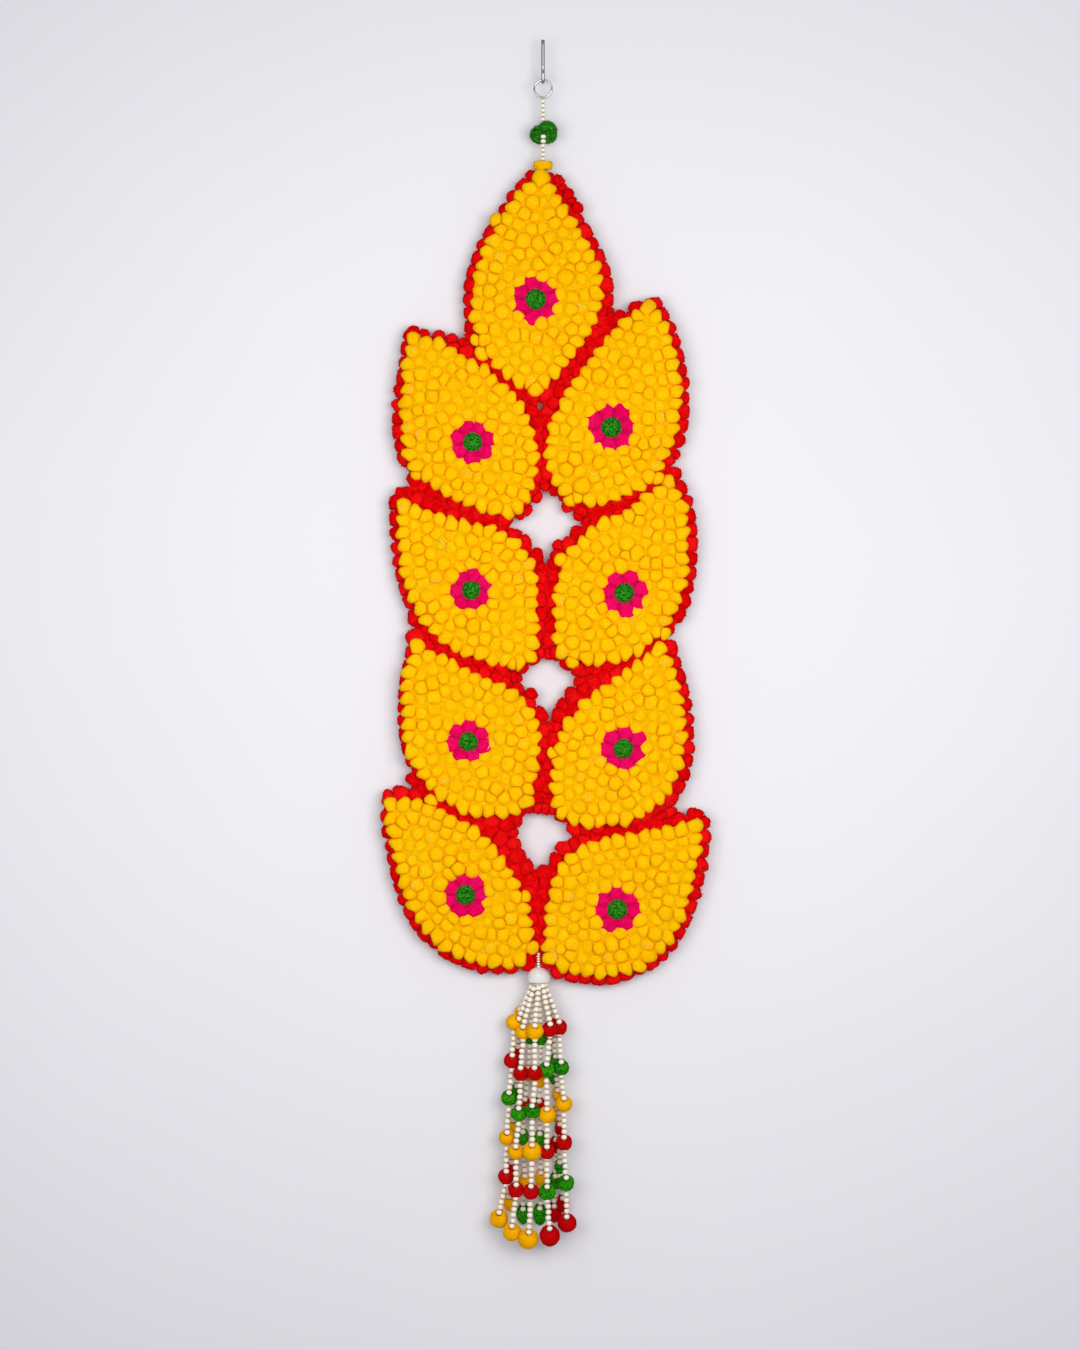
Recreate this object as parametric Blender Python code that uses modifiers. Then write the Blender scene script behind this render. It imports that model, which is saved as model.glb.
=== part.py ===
"""Marigold leaf hanging: nine leaves of pompoms, a ring and beads to hang it by, and a tassel below.

The hanging lies in the XZ plane and its front faces -Y. The origin is the flat top end of the hook's shank.
Tables and layout are in millimetres. Meshes are in metres.
"""
import math
from collections import namedtuple

import bmesh
import bpy
import numpy as np
from mathutils import Vector, geometry

MM = 0.001
GAP = 0.3                       # clearance between touching pieces
COLLECTION = "marigold_leaf_hanging"

# Leaves: the outline of each yellow field, from its pointed tip to its base, and the red border round it
Side = namedtuple("Side", "width peak fullness red_at_tip red_at_middle red_at_base")
Leaf = namedtuple("Leaf", "name tip base flower left right")
LEAVES = (
    Leaf("top", (0.5, -131.0), (-0.7, -351.0), (-7.6, -260.2),
         Side(72.0, 0.61, 0.52, 6.5, 7.5, 6.0), Side(59.0, 0.55, 1.00, 7.0, 10.5, 13.0)),
    Leaf("right_1", (105.1, -259.5), (32.9, -463.1), (68.4, -387.2),
         Side(50.6, 0.68, 0.45, 4.5, 8.0, 13.0), Side(71.5, 0.58, 0.51, 6.0, 9.0, 10.0)),
    Leaf("left_1", (-136.7, -291.4), (-29.9, -480.8), (-72.2, -401.1),
         Side(60.8, 0.54, 1.04, 3.5, 9.0, 5.0), Side(63.9, 0.59, 0.59, 5.0, 11.0, 9.5)),
    Leaf("right_2", (124.3, -434.4), (6.9, -610.3), (80.0, -551.8),
         Side(40.4, 0.57, 1.50, 8.0, 14.0, 9.0), Side(84.6, 0.59, 0.46, 8.0, 9.0, 13.0)),
    Leaf("left_2", (-145.7, -452.6), (-7.8, -625.6), (-72.7, -549.7),
         Side(61.7, 0.55, 0.83, 7.0, 5.5, 4.0), Side(64.2, 0.57, 1.30, 12.0, 11.5, 4.0)),
    Leaf("right_3", (117.3, -601.0), (12.0, -776.2), (78.0, -708.5),
         Side(38.7, 0.60, 0.96, 8.0, 17.0, 6.0), Side(85.6, 0.60, 0.54, 8.0, 10.5, 9.5)),
    Leaf("left_3", (-126.0, -596.8), (-12.8, -770.5), (-76.0, -699.9),
         Side(75.0, 0.57, 0.62, 3.5, 4.0, 7.0), Side(57.4, 0.59, 1.26, 8.0, 13.0, 8.5)),
    Leaf("right_4", (155.6, -775.8), (0.1, -918.7), (74.2, -868.5),
         Side(59.2, 0.58, 1.12, 9.0, 11.0, 8.0), Side(74.1, 0.59, 0.60, 9.0, 8.5, 8.0)),
    Leaf("left_4", (-158.7, -762.0), (-20.7, -924.7), (-79.8, -853.1),
         Side(53.3, 0.59, 0.74, 5.0, 6.5, 6.5), Side(54.7, 0.52, 0.50, 9.0, 25.0, 11.0)),
)

# See-through diamonds between the leaves, by their four corners
Diamond = namedtuple("Diamond", "left right top bottom")
DIAMONDS = (
    Diamond((-30.5, -485.0), (37.5, -480.0), (4.5, -449.0), (3.0, -520.5)),
    Diamond((-29.0, -636.0), (36.5, -641.0), (3.5, -614.0), (5.5, -676.0)),
    Diamond((-30.0, -785.5), (28.5, -797.5), (-1.5, -765.0), (-2.5, -830.0)),
)
DIAMOND_POWER = 0.95            # 1 is a straight-sided diamond, less is drawn in

# Pompoms of the yellow fields
OUTLINE_STEP = 1.5              # spacing of the points that draw an outline
POMPOM_RADIUS = 6.8
POMPOM_PITCH = 12.7
ROW_STEP = 11.6                 # from one row along the edge to the next
EDGE_ROWS = 3
FLOWER_CLEARANCE = 25.3         # from a flower's centre to the ring of yellow pompoms round it
FLOWER_RING = 12
EDGE_GIVE, RING_GIVE, INNER_GIVE = 0.15, 0.3, 1.0  # how far a crowded pompom gives way
CLOSEST_PAIR = 10.4
WIDEST_ROOM = 9.9
SPOT_PITCH = 2.5                # spacing of the spots tried for one more pompom
FIRST_SEED = 11
FIELD_NOTCH = 2.2               # a notch of the rim lies this far outside the line between two edge pompoms

# Red grounds
BRIDGE = 29.0                   # red fills between two fields that are less than this apart
MIDDLE_BRIDGE = 64.0            # and as far as this along the middle, but for the diamonds
MIDDLE_HALF_WIDTH = 46.0
MIDDLE_SPAN = (-900.0, -340.0)
GROUND_GAP = 0.7
FARTHEST_RED = 34.0
SCALLOP = 14.5
SCALLOP_POINTS = ((0.0, -2.6), (0.27, 0.4), (0.73, 0.4))  # share of the scallop, and rise over the plain rim
MEETING_TOLERANCE = 1.3
SHORTEST_RUN = 9
FREE, MEETING, FITTED = 0, 1, 2  # a stretch of rim is free, meets another ground, or skirts a fitting
POINT_PITCH = {MEETING: 13.0, FITTED: 3.5}

# Depths, front to back
GROUND_BACK = 9.0
GROUND_FRONT = -0.7
FIELD_BACK = GROUND_FRONT - GAP
FIELD_SEAM = -7.8
FIELD_CROWN = -12.0
CROWN_SPREAD = 0.7
FLOWER_SEAT = -3.0
FLOWER_BACK = FLOWER_SEAT - GAP
FLOWER_SEAM = -6.6
FLOWER_CROWN = -10.4
CENTRE_SEAT = -6.2
SEAT_WALL = 1.5                 # from the middle of two lumps to the seat between them

# Flowers
PETALS = 7
PETAL_CIRCLE = 12.6
PETAL_CROWN = 19.6
PETAL_NOTCH = 16.6
CENTRE_RADIUS = 8.0
CENTRE_HALF_DEPTH = 4.1

# Hook, ring and hanger, on the line x = 0 but where a size says otherwise
HOOK_WIRE = 1.35
HOOK_BEND = 3.3
HOOK_TIP_RISE = 5.0
HOOK_BEND_POINTS = 7
RING_HEIGHT = -48.8
RING_RADIUS = 9.0
RING_WIRE = 0.9
RING_STEPS = 22
BEAD_RADIUS = 2.1
BEAD_WAIST = 1.35
BEAD_PITCH = 3.85
UPPER_BEADS_END = -81.6
PAIR_LOBES = ((-5.0, 0.0, -95.0, 8.5), (5.0, 0.0, -91.5, 10.0))
LOWER_BEADS_TOP = -103.4
COLLAR_TOP = -121.5
COLLAR_BOTTOM = -129.0
COLLAR_RADIUS = 9.2
COLLAR_DEPTH_SCALE = 0.85
COLLAR_PROFILE = ((0.0, 0.0), (0.82, 0.0), (1.0, 0.22), (0.95, 0.55), (0.74, 1.0), (0.0, 1.0))

# Tassel
AXIS_X = -4.5
STEM_TOP = -912.5
STEM_RADIUS = 1.9
CAP_TOP = -928.0
CAP_BOTTOM = -942.5
CAP_RADIUS = 10.6
HEAD_RADIUS = 11.0
HEAD_BOTTOM = -945.5
STRAND_RADIUS = 2.7
STRING_GAP = 0.7
PUSH_SHARES = (0.4, 1.0, 0.0)   # crowded strings give way mostly in depth
POMPOM_PROFILE = ((-1.0, 0.0), (-0.45, 0.93), (0.45, 0.93), (1.0, 0.0))
END_SWELL = 1.16                # the last pompom of a string is this much larger
String = namedtuple("String", "name root angle first pitch x_top x_end y_top y_end radius colours")
STRINGS = (
    String("a", 8.2, -80.0, -982.0, 39.2, -29.0, -44.0, -2.0, -3.0, 7.4, "YRGYRY"),
    String("b", 8.2, -40.0, -991.0, 39.8, -20.0, -31.0, -13.0, -16.0, 7.3, "YRGYRY"),
    String("c", 8.2, 0.0, -989.5, 41.5, -8.0, -14.5, -8.0, -18.0, 7.8, "YRGYRY"),
    String("d", 8.2, 40.0, -988.0, 41.0, 7.0, 6.5, -13.0, -18.0, 8.0, "RGYRGR"),
    String("e", 8.2, 80.0, -987.0, 39.0, 16.0, 24.0, -1.0, -5.0, 7.6, "RGYRGR"),
    String("i", 8.2, 120.0, -977.0, 37.4, 17.0, 20.0, 9.0, 10.0, 7.0, "YGYRGR"),
    String("h", 8.2, 160.0, -998.0, 35.6, 8.0, 11.0, 15.0, 16.0, 7.2, "RGYRGR"),
    String("j", 8.2, -160.0, -984.0, 38.8, -14.0, -19.0, 14.0, 14.0, 7.0, "RYRYRG"),
    String("f", 8.2, -120.0, -970.0, 38.4, -24.0, -35.0, 9.0, 11.0, 7.0, "YRGYRY"),
    String("g", 0.0, 0.0, -982.0, 39.0, -3.0, -4.0, 1.0, 1.0, 7.3, "GYRGYG"),
)

YELLOW = ("ffc000", 0.95)
RED = ("e00b12", 0.95)
PINK = ("e8006a", 0.95)
GREEN = ("12781a", 0.95)
WHITE = ("eceae4", 0.9)
PEARL = ("f2eee6", 0.25)
STEEL = ("b9babd", 0.25)


def linear(hex_colour):
    """An sRGB hex colour as linear RGBA."""
    parts = [int(hex_colour[k:k + 2], 16) / 255 for k in (0, 2, 4)]
    return [c / 12.92 if c <= 0.04045 else ((c + 0.055) / 1.055) ** 2.4 for c in parts] + [1.0]


def finish(name, look, metallic=0.0):
    """A plain material of one colour and roughness."""
    colour, roughness = look
    material = bpy.data.materials.new(name)
    material.use_nodes = True
    shader = material.node_tree.nodes["Principled BSDF"]
    shader.inputs["Base Color"].default_value = linear(colour)
    shader.inputs["Roughness"].default_value = roughness
    shader.inputs["Metallic"].default_value = metallic
    material.diffuse_color = linear(colour)
    return material


def add_object(name, data, material, place=(0.0, 0.0, 0.0)):
    """A mesh or curve as a named object in the hanging's collection, placed in millimetres."""
    thing = bpy.data.objects.new(name, data)
    thing.location = Vector(place) * MM
    data.materials.append(material)
    bpy.data.collections[COLLECTION].objects.link(thing)
    return thing


def closest(points, curve):
    """The distance from each point to the nearest point that draws a curve."""
    gaps = np.empty(len(points))
    for start in range(0, len(points), 1500):
        block = points[start:start + 1500]
        gaps[start:start + 1500] = np.sqrt(((block[:, None] - curve[None]) ** 2).sum(-1).min(1))
    return gaps


def inside(points, outline):
    """Which points lie inside a closed outline."""
    x, z = points[:, 0:1], points[:, 1:2]
    near, far = outline, np.roll(outline, -1, 0)
    crosses = (near[:, 1] > z) != (far[:, 1] > z)
    rise = np.where(far[:, 1] == near[:, 1], 1.0, far[:, 1] - near[:, 1])
    reach = near[:, 0] + (z - near[:, 1]) * (far[:, 0] - near[:, 0]) / rise
    return (crosses & (x < reach)).sum(1) % 2 == 1


def depth_in(points, outline):
    """How deep each point lies inside an outline, less than zero outside it."""
    return np.where(inside(points, outline), 1.0, -1.0) * closest(points, outline)


def run_along(curve):
    """The distance along a closed curve to each of its points, and back to the first."""
    closed = np.vstack((curve, curve[:1]))
    return closed, np.concatenate(([0.0], np.cumsum(np.linalg.norm(np.diff(closed, axis=0), axis=1))))


def points_at(curve, distances):
    """The points of a closed curve at given distances along it."""
    closed, run = run_along(curve)
    return np.column_stack([np.interp(np.mod(distances, run[-1]), run, closed[:, k]) for k in (0, 1)])


def even_points(curve, pitch, phase=0.0):
    """Points at an even pitch along a closed curve."""
    length = run_along(curve)[1][-1]
    count = max(3, round(length / pitch))
    return points_at(curve, (np.arange(count) + phase) / count * length)


def outward(outline, spread=1):
    """The outward normals of a counter-clockwise outline."""
    ahead = np.roll(outline, -spread, 0) - np.roll(outline, spread, 0)
    normal = np.column_stack((ahead[:, 1], -ahead[:, 0]))
    return normal / np.linalg.norm(normal, axis=1, keepdims=True)


def leaf_outline(leaf):
    """The edge of a leaf's yellow field: down the left side from the tip, and back up the right one."""
    tip, base = np.array(leaf.tip), np.array(leaf.base)
    along = (base - tip) / np.linalg.norm(base - tip)
    across = np.array((along[1], -along[0]))
    t = np.linspace(0.0, 1.0, 161)
    sides = []
    for side, sign in ((leaf.left, 1.0), (leaf.right, -1.0)):
        skew = math.log(0.5) / math.log(side.peak)
        offset = side.width * np.sin(np.pi * t ** skew).clip(0.0) ** side.fullness
        sides.append(tip + t[:, None] * (base - tip) + sign * offset[:, None] * across)
    return even_points(np.vstack((sides[0][:-1], sides[1][:0:-1])), OUTLINE_STEP)


def inset_curve(outline, depth):
    """The closed curve that runs inside an outline at the given depth."""
    shifted = outline - outward(outline) * depth
    keep = (closest(shifted, outline) > depth - 0.25) & inside(shifted, outline)
    return shifted[keep]


def settle(points, give, flower, steps=25):
    """Pushes crowded pompoms apart, each as far as it gives way, and none into the flower."""
    for _ in range(steps):
        gap = points[:, None] - points[None]
        dist = np.linalg.norm(gap, axis=2) + np.eye(len(points)) * 1e3
        move = ((0.25 * (POMPOM_PITCH - dist).clip(0.0) / dist)[..., None] * gap).sum(1)
        points = points + give[:, None] * move
        away = points - flower
        far = np.linalg.norm(away, axis=1, keepdims=True)
        points = np.where(far < FLOWER_CLEARANCE, flower + away / far * FLOWER_CLEARANCE, points)
    return points


def field_pompoms(leaf, outline, seed):
    """The centres of a field's pompoms, rows along the edge first, and which of them are in the edge row."""
    rng = np.random.default_rng(seed)
    flower = np.array(leaf.flower)
    rows = []
    for row in range(EDGE_ROWS):
        curve = inset_curve(outline, POMPOM_RADIUS + row * ROW_STEP)
        points = even_points(curve, POMPOM_PITCH, 0.5 * (row % 2))
        points = points + rng.normal(0.0, 0.6 * row, points.shape)
        rows.append(points[np.linalg.norm(points - flower, axis=1) > FLOWER_CLEARANCE + ROW_STEP / 2])
    angles = rng.random() + np.arange(FLOWER_RING) * math.tau / FLOWER_RING
    rows.append(flower + FLOWER_CLEARANCE * np.column_stack((np.cos(angles), np.sin(angles))))
    low, high = outline.min(0), outline.max(0)
    across = np.arange(low[0], high[0], POMPOM_PITCH)
    up = np.arange(low[1], high[1], POMPOM_PITCH * 0.87)
    grid = np.array([(x + POMPOM_PITCH * 0.5 * (k % 2), z) for k, z in enumerate(up) for x in across])
    grid = grid + rng.normal(0.0, 1.2, grid.shape)
    grid = grid[depth_in(grid, outline) > POMPOM_RADIUS + (EDGE_ROWS - 0.15) * ROW_STEP]
    rows.append(grid[np.linalg.norm(grid - flower, axis=1) > FLOWER_CLEARANCE + ROW_STEP / 2])
    points = np.vstack(rows)
    give = np.full(len(points), INNER_GIVE)
    give[:len(rows[0])] = EDGE_GIVE
    ring_start = sum(len(row) for row in rows[:EDGE_ROWS])
    give[ring_start:ring_start + FLOWER_RING] = RING_GIVE
    spots = np.array([(x, z) for x in np.arange(low[0], high[0], SPOT_PITCH)
                      for z in np.arange(low[1], high[1], SPOT_PITCH)])
    clear = np.linalg.norm(spots - flower, axis=1) > FLOWER_CLEARANCE
    spots = spots[clear & (depth_in(spots, outline) > POMPOM_RADIUS)]
    for _ in range(14):
        points = settle(points, give, flower)
        dist = np.linalg.norm(points[:, None] - points[None], axis=2) + np.eye(len(points)) * 1e3
        first, second = np.unravel_index(dist.argmin(), dist.shape)
        room = closest(spots, points)
        if dist[first, second] < CLOSEST_PAIR:
            extra = second if give[first] < give[second] else first
            points = np.delete(points, extra, 0)
            give = np.delete(give, extra)
        elif room.max() > WIDEST_ROOM:
            points = np.vstack((points, spots[room.argmax()]))
            give = np.append(give, INNER_GIVE)
        else:
            break
    return points, give == EDGE_GIVE


def field_rim(points, on_edge):
    """The scalloped rim of a field: a crown outside each edge pompom and a notch before the next."""
    edge = points[on_edge]
    away = outward(edge)
    rim = np.empty((2 * len(edge), 2))
    rim[0::2] = edge + away * (POMPOM_RADIUS - 0.2)
    rim[1::2] = (edge + np.roll(edge, -1, 0)) / 2 + (away + np.roll(away, -1, 0)) / 2 * FIELD_NOTCH
    return rim


def red_reach(points, leaf):
    """How far the red border may reach past the yellow field at each point, by its side and place."""
    tip, along = np.array(leaf.tip), np.array(leaf.base) - np.array(leaf.tip)
    t = (points - tip) @ along / (along @ along)
    on_left = (points - tip) @ np.array((along[1], -along[0])) > 0.0
    stations = (0.0, 0.5, 1.0)
    left, right = (np.interp(t, stations, (s.red_at_tip, s.red_at_middle, s.red_at_base))
                   for s in (leaf.left, leaf.right))
    return np.where(on_left, left, right)


def in_diamond(points):
    """Which points lie in a see-through diamond."""
    hit = np.zeros(len(points), bool)
    for gap in DIAMONDS:
        middle = ((gap.top[0] + gap.bottom[0]) / 2, (gap.left[1] + gap.right[1]) / 2)
        away = points - middle
        half_x = np.where(away[:, 0] < 0.0, middle[0] - gap.left[0], gap.right[0] - middle[0])
        half_z = np.where(away[:, 1] < 0.0, middle[1] - gap.bottom[1], gap.top[1] - middle[1])
        shares = np.abs(away) / np.column_stack((half_x, half_z))
        hit |= (shares ** DIAMOND_POWER).sum(1) < 1.0
    return hit


def in_fitting(points):
    """Which points lie where the collar pompom, the tassel's stem or its cap goes."""
    x, z = points.T
    collar = (np.abs(x) < COLLAR_RADIUS + GAP) & (z > COLLAR_BOTTOM - GAP)
    stem = (np.abs(x - AXIS_X) < STEM_RADIUS + GAP) & (z < STEM_TOP + GAP)
    across = (x - AXIS_X) / (CAP_RADIUS + 2 * GAP)
    up = (z - CAP_BOTTOM) / (CAP_TOP - CAP_BOTTOM + 2 * GAP)
    return collar | stem | (across ** 2 + up ** 2 < 1.0)


def ground_curve(index, outlines):
    """The plain outline of a red ground, and whether it is free, meeting or fitted at each point."""
    leaf, field = LEAVES[index], outlines[index]
    others = [o for k, o in enumerate(outlines) if k != index and closest(o, field).min() < 2 * FARTHEST_RED]
    start = even_points(field, 3.0)
    radial = start - field.mean(0)
    step = outward(start, 3) * 0.65 + radial / np.linalg.norm(radial, axis=1, keepdims=True) * 0.35
    step /= np.linalg.norm(step, axis=1, keepdims=True)

    def distances(points):
        return closest(points, field), np.min([closest(points, o) for o in others], axis=0)

    def belongs(points):
        own, other = distances(points)
        x, z = points.T
        low, high = MIDDLE_SPAN
        in_middle = (np.abs(x) < MIDDLE_HALF_WIDTH) & (z > low) & (z < high)
        fits = (own <= red_reach(points, leaf)) | (own + other <= np.where(in_middle, MIDDLE_BRIDGE, BRIDGE))
        return fits & (other - own >= GROUND_GAP) & ~in_diamond(points) & ~in_fitting(points)

    reach = np.zeros(len(start))
    going = np.ones(len(start), bool)
    for distance in np.arange(1.0, FARTHEST_RED):
        going &= belongs(start + step * distance)
        reach[going] = distance
    for halving in (0.5, 0.25, 0.125, 0.0625):
        further = belongs(start + step * (reach + halving)[:, None])
        reach[further] += halving
    curve = start + step * reach[:, None]
    own, other = distances(curve)
    kinds = np.where(other - own < GROUND_GAP + MEETING_TOLERANCE, MEETING, FREE)
    kinds[in_fitting(curve + step * MEETING_TOLERANCE)] = FITTED
    return curve, kinds


def runs_of(kinds):
    """The stretches of one kind round a closed curve, as (first, count, kind)."""
    changes = [k for k in range(len(kinds)) if kinds[k] != kinds[k - 1]]
    if not changes:
        return [(0, len(kinds), int(kinds[0]))]
    following = changes[1:] + [changes[0] + len(kinds)]
    return [(first, after - first, int(kinds[first])) for first, after in zip(changes, following)]


def ground_rim(curve, kinds):
    """A ground's rim: a scallop for each red pompom where it is free, and plain elsewhere."""
    length = run_along(curve)[1][-1]
    count = round(length)
    dense = points_at(curve, np.arange(count) * length / count)
    kinds = kinds[[int(np.linalg.norm(curve - p, axis=1).argmin()) for p in dense]]
    for first, run, kind in runs_of(kinds):
        if run < SHORTEST_RUN and kind != FITTED:
            kinds[np.arange(first, first + run) % count] = kinds[first - 1]
    smooth = (np.roll(dense, 4, 0) + dense + np.roll(dense, -4, 0)) / 3
    away = outward(dense, 4)
    rim = []
    for first, run, kind in runs_of(kinds):
        free = kind == FREE
        parts = max(1, round(run / (SCALLOP if free else POINT_PITCH[kind])))
        for part in range(parts):
            for share, rise in SCALLOP_POINTS if free else ((0.0, 0.0),):
                at = int(round(first + (part + share) * run / parts)) % count
                rim.append((smooth if free else dense)[at] + away[at] * rise)
    return np.array(rim)


def mesh_of(name, points, faces, smooth=False):
    """A closed mesh from points in millimetres, with its faces turned outward."""
    built = bmesh.new()
    corners = [built.verts.new(Vector(p) * MM) for p in points]
    for face in faces:
        built.faces.new([corners[k] for k in face])
    bmesh.ops.recalc_face_normals(built, faces=built.faces)
    mesh = bpy.data.meshes.new(name)
    built.to_mesh(mesh)
    built.free()
    if smooth:
        mesh.shade_smooth()
    return mesh


def lumpy_slab(name, bumps, heights, edge_bumps, rim, depths, seat, material):
    """A slab with a flat back, whose face rises to a lump at each bump and falls to a seam between two.

    Every other point of the rim is the crown of one of the edge bumps, in their order. The bump whose
    number is seat stays flat, for the piece that sits there. The depths are those of rim, seam and seat.
    """
    rim_depth, seam_depth, seat_depth = depths
    flat = [Vector(p) for p in np.vstack((bumps, rim))]
    first_rim = len(bumps)
    edges = [(first_rim + k, first_rim + (k + 1) % len(rim)) for k in range(len(rim))]
    for k, bump in enumerate(edge_bumps):
        edges += [(int(bump), first_rim + 2 * k), (int(bump), int(edge_bumps[k - 1]))]
    corners, _, triangles = geometry.delaunay_2d_cdt(flat, edges, [], 1, 1e-4)[:3]
    if len(corners) != len(flat):
        raise ValueError(f"{name}: the rim crosses itself")
    points = [(c.x, y, c.y) for c, y in zip(corners, list(heights) + [rim_depth] * len(rim))]
    points[seat] = (points[seat][0], seat_depth, points[seat][2])
    spokes = [dict() for _ in bumps]
    faces = []
    for triangle in triangles:
        high = [k for k in triangle if k < first_rim]
        seam = None
        if len(high) >= 2:
            middle = sum((corners[k] for k in triangle), Vector((0.0, 0.0))) / 3
            depth = seam_depth
            if seat in high:
                pair = [corners[k] for k in triangle if k != seat]
                half_way = (pair[0] + pair[1]) / 2 - corners[seat]
                middle = corners[seat] + half_way * (1.0 - SEAT_WALL / half_way.length)
                depth = seat_depth
            seam = len(points)
            points.append((middle.x, depth, middle.y))
        elif not high:
            faces.append(triangle)
        for k, corner in enumerate(triangle):
            if corner < first_rim:
                spokes[corner][triangle[(k + 1) % 3]] = (triangle[(k + 2) % 3], seam)
    for bump, fan in enumerate(spokes):
        ring = []
        start = neighbour = next(iter(fan))
        while True:
            if neighbour >= first_rim:
                ring.append(neighbour)
            neighbour, seam = fan[neighbour]
            if seam is not None:
                ring.append(seam)
            if neighbour == start:
                break
        faces.extend((bump, ring[k], ring[(k + 1) % len(ring)]) for k in range(len(ring)))
    faces.append([first_rim + k for k in range(len(rim))])
    return add_object(name, mesh_of(name, points, faces), material)


def add_field(leaf, points, on_edge, seed, material):
    """A leaf's yellow pompoms as one lumpy slab, with a flat seat for the flower."""
    rng = np.random.default_rng(seed)
    bumps = np.vstack((points, leaf.flower))
    heights = FIELD_CROWN + rng.normal(0.0, CROWN_SPREAD, len(bumps))
    lumpy_slab(f"leaf_{leaf.name}_field", bumps, heights, np.flatnonzero(on_edge), field_rim(points, on_edge),
               (FIELD_BACK, FIELD_SEAM, FLOWER_SEAT), len(points), material)


def add_flower(leaf, turn, material):
    """A ring of pink pompoms as one lumpy disc, with a flat seat for the green centre."""
    centre = np.array(leaf.flower)

    def ring(radius, shift):
        angles = turn + (np.arange(PETALS) + shift) * 2 * math.pi / PETALS
        return centre + radius * np.column_stack((np.cos(angles), np.sin(angles)))

    rim = np.stack((ring(PETAL_CROWN, 0.0), ring(PETAL_NOTCH, 0.5)), axis=1).reshape(-1, 2)
    bumps = np.vstack((ring(PETAL_CIRCLE, 0.0), centre))
    lumpy_slab(f"leaf_{leaf.name}_flower", bumps, [FLOWER_CROWN] * (PETALS + 1), range(PETALS), rim,
               (FLOWER_BACK, FLOWER_SEAM, CENTRE_SEAT), PETALS, material)


def add_ground(leaf, rim, material):
    """A leaf's base cloth with its border of red pompoms, as a flat outline with thickness."""
    curve = bpy.data.curves.new(f"leaf_{leaf.name}_ground", "CURVE")
    curve.dimensions = "2D"
    curve.fill_mode = "BOTH"
    curve.extrude = (GROUND_BACK - GROUND_FRONT) / 2 * MM
    spline = curve.splines.new("POLY")
    spline.points.add(len(rim) - 1)
    for point, (x, z) in zip(spline.points, rim):
        point.co = (x * MM, z * MM, 0.0, 1.0)
    spline.use_cyclic_u = True
    thing = add_object(curve.name, curve, material, (0.0, (GROUND_BACK + GROUND_FRONT) / 2, 0.0))
    thing.rotation_euler = (math.pi / 2, 0.0, 0.0)


def ball(name, radii, segments, rings):
    """A ball with its own radius along each axis, in millimetres."""
    built = bmesh.new()
    bmesh.ops.create_uvsphere(built, u_segments=segments, v_segments=rings, radius=1.0)
    bmesh.ops.scale(built, vec=Vector(radii) * MM, verts=built.verts)
    mesh = bpy.data.meshes.new(name)
    built.to_mesh(mesh)
    built.free()
    mesh.shade_smooth()
    return mesh


def add_turned(name, profile, place, material, steps=8):
    """A turned piece: its profile, in millimetres from its axis, runs down its outer side."""
    mesh = bpy.data.meshes.new(name)
    edges = [(k, k + 1) for k in range(len(profile) - 1)]
    mesh.from_pydata([(r * MM, 0.0, z * MM) for r, z in profile], edges, [])
    thing = add_object(name, mesh, material, place)
    screw = thing.modifiers.new("turn", "SCREW")
    screw.steps = steps
    screw.render_steps = steps
    screw.use_merge_vertices = True
    screw.merge_threshold = 0.00001
    return thing


def add_beads(name, place, top, bottom, radius, material):
    """A short string of beads as one turned piece with a waist between two."""
    count = round((top - bottom) / BEAD_PITCH)
    pitch = (top - bottom) / count
    profile = [(0.0, top), (BEAD_WAIST, top)]
    for bead in range(count):
        profile.append((radius, top - (bead + 0.5) * pitch))
        profile.append((BEAD_WAIST, top - (bead + 1) * pitch))
    profile.append((0.0, bottom))
    add_turned(name, profile, place, material, 6)


def tube(name, runs, depth, resolution):
    """A curve of one round tube for each run of (x, y, z, radius) points, all in millimetres."""
    curve = bpy.data.curves.new(name, "CURVE")
    curve.dimensions = "3D"
    curve.bevel_depth = depth * MM
    curve.bevel_resolution = resolution
    curve.use_fill_caps = True
    for run in runs:
        spline = curve.splines.new("POLY")
        spline.points.add(len(run) - 1)
        for point, (x, y, z, radius) in zip(spline.points, run):
            point.co = (x * MM, y * MM, z * MM, 1.0)
            point.radius = radius / depth
    return curve


def add_hook(material):
    """The wire hook: a straight shank, a set-back and a bend that the ring hangs in."""
    bend_z = RING_HEIGHT + RING_RADIUS + HOOK_BEND - HOOK_WIRE - RING_WIRE - GAP
    path = [(0.0, 0.0), (0.0, bend_z + 12.0), (HOOK_BEND, bend_z + 5.0)]
    for share in np.linspace(0.0, 1.0, HOOK_BEND_POINTS):
        angle = share * math.pi
        path.append((HOOK_BEND * math.cos(angle), bend_z - HOOK_BEND * math.sin(angle)))
    path.append((-HOOK_BEND - 0.6, bend_z + HOOK_TIP_RISE))
    add_object("hook", tube("hook", [[(0.0, y, z, HOOK_WIRE) for y, z in path]], HOOK_WIRE, 2), material)


def add_ring(material):
    """The ring that the hanging hangs by, facing the viewer."""
    angles = np.arange(RING_STEPS) * math.tau / RING_STEPS
    run = [(RING_RADIUS * math.sin(a), 0.0, RING_RADIUS * math.cos(a), RING_WIRE) for a in angles]
    curve = tube("ring", [run], RING_WIRE, 1)
    curve.splines[0].use_cyclic_u = True
    add_object("ring", curve, material, (0.0, 0.0, RING_HEIGHT))


def joined(target, other):
    """Replaces a mesh object's mesh by its union with another mesh object, which goes."""
    union = target.modifiers.new("union", "BOOLEAN")
    union.operation = "UNION"
    union.solver = "EXACT"
    union.object = other
    evaluated = target.evaluated_get(bpy.context.evaluated_depsgraph_get())
    mesh = bpy.data.meshes.new_from_object(evaluated)
    target.modifiers.clear()
    target.data = mesh
    bpy.data.objects.remove(other)


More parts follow.
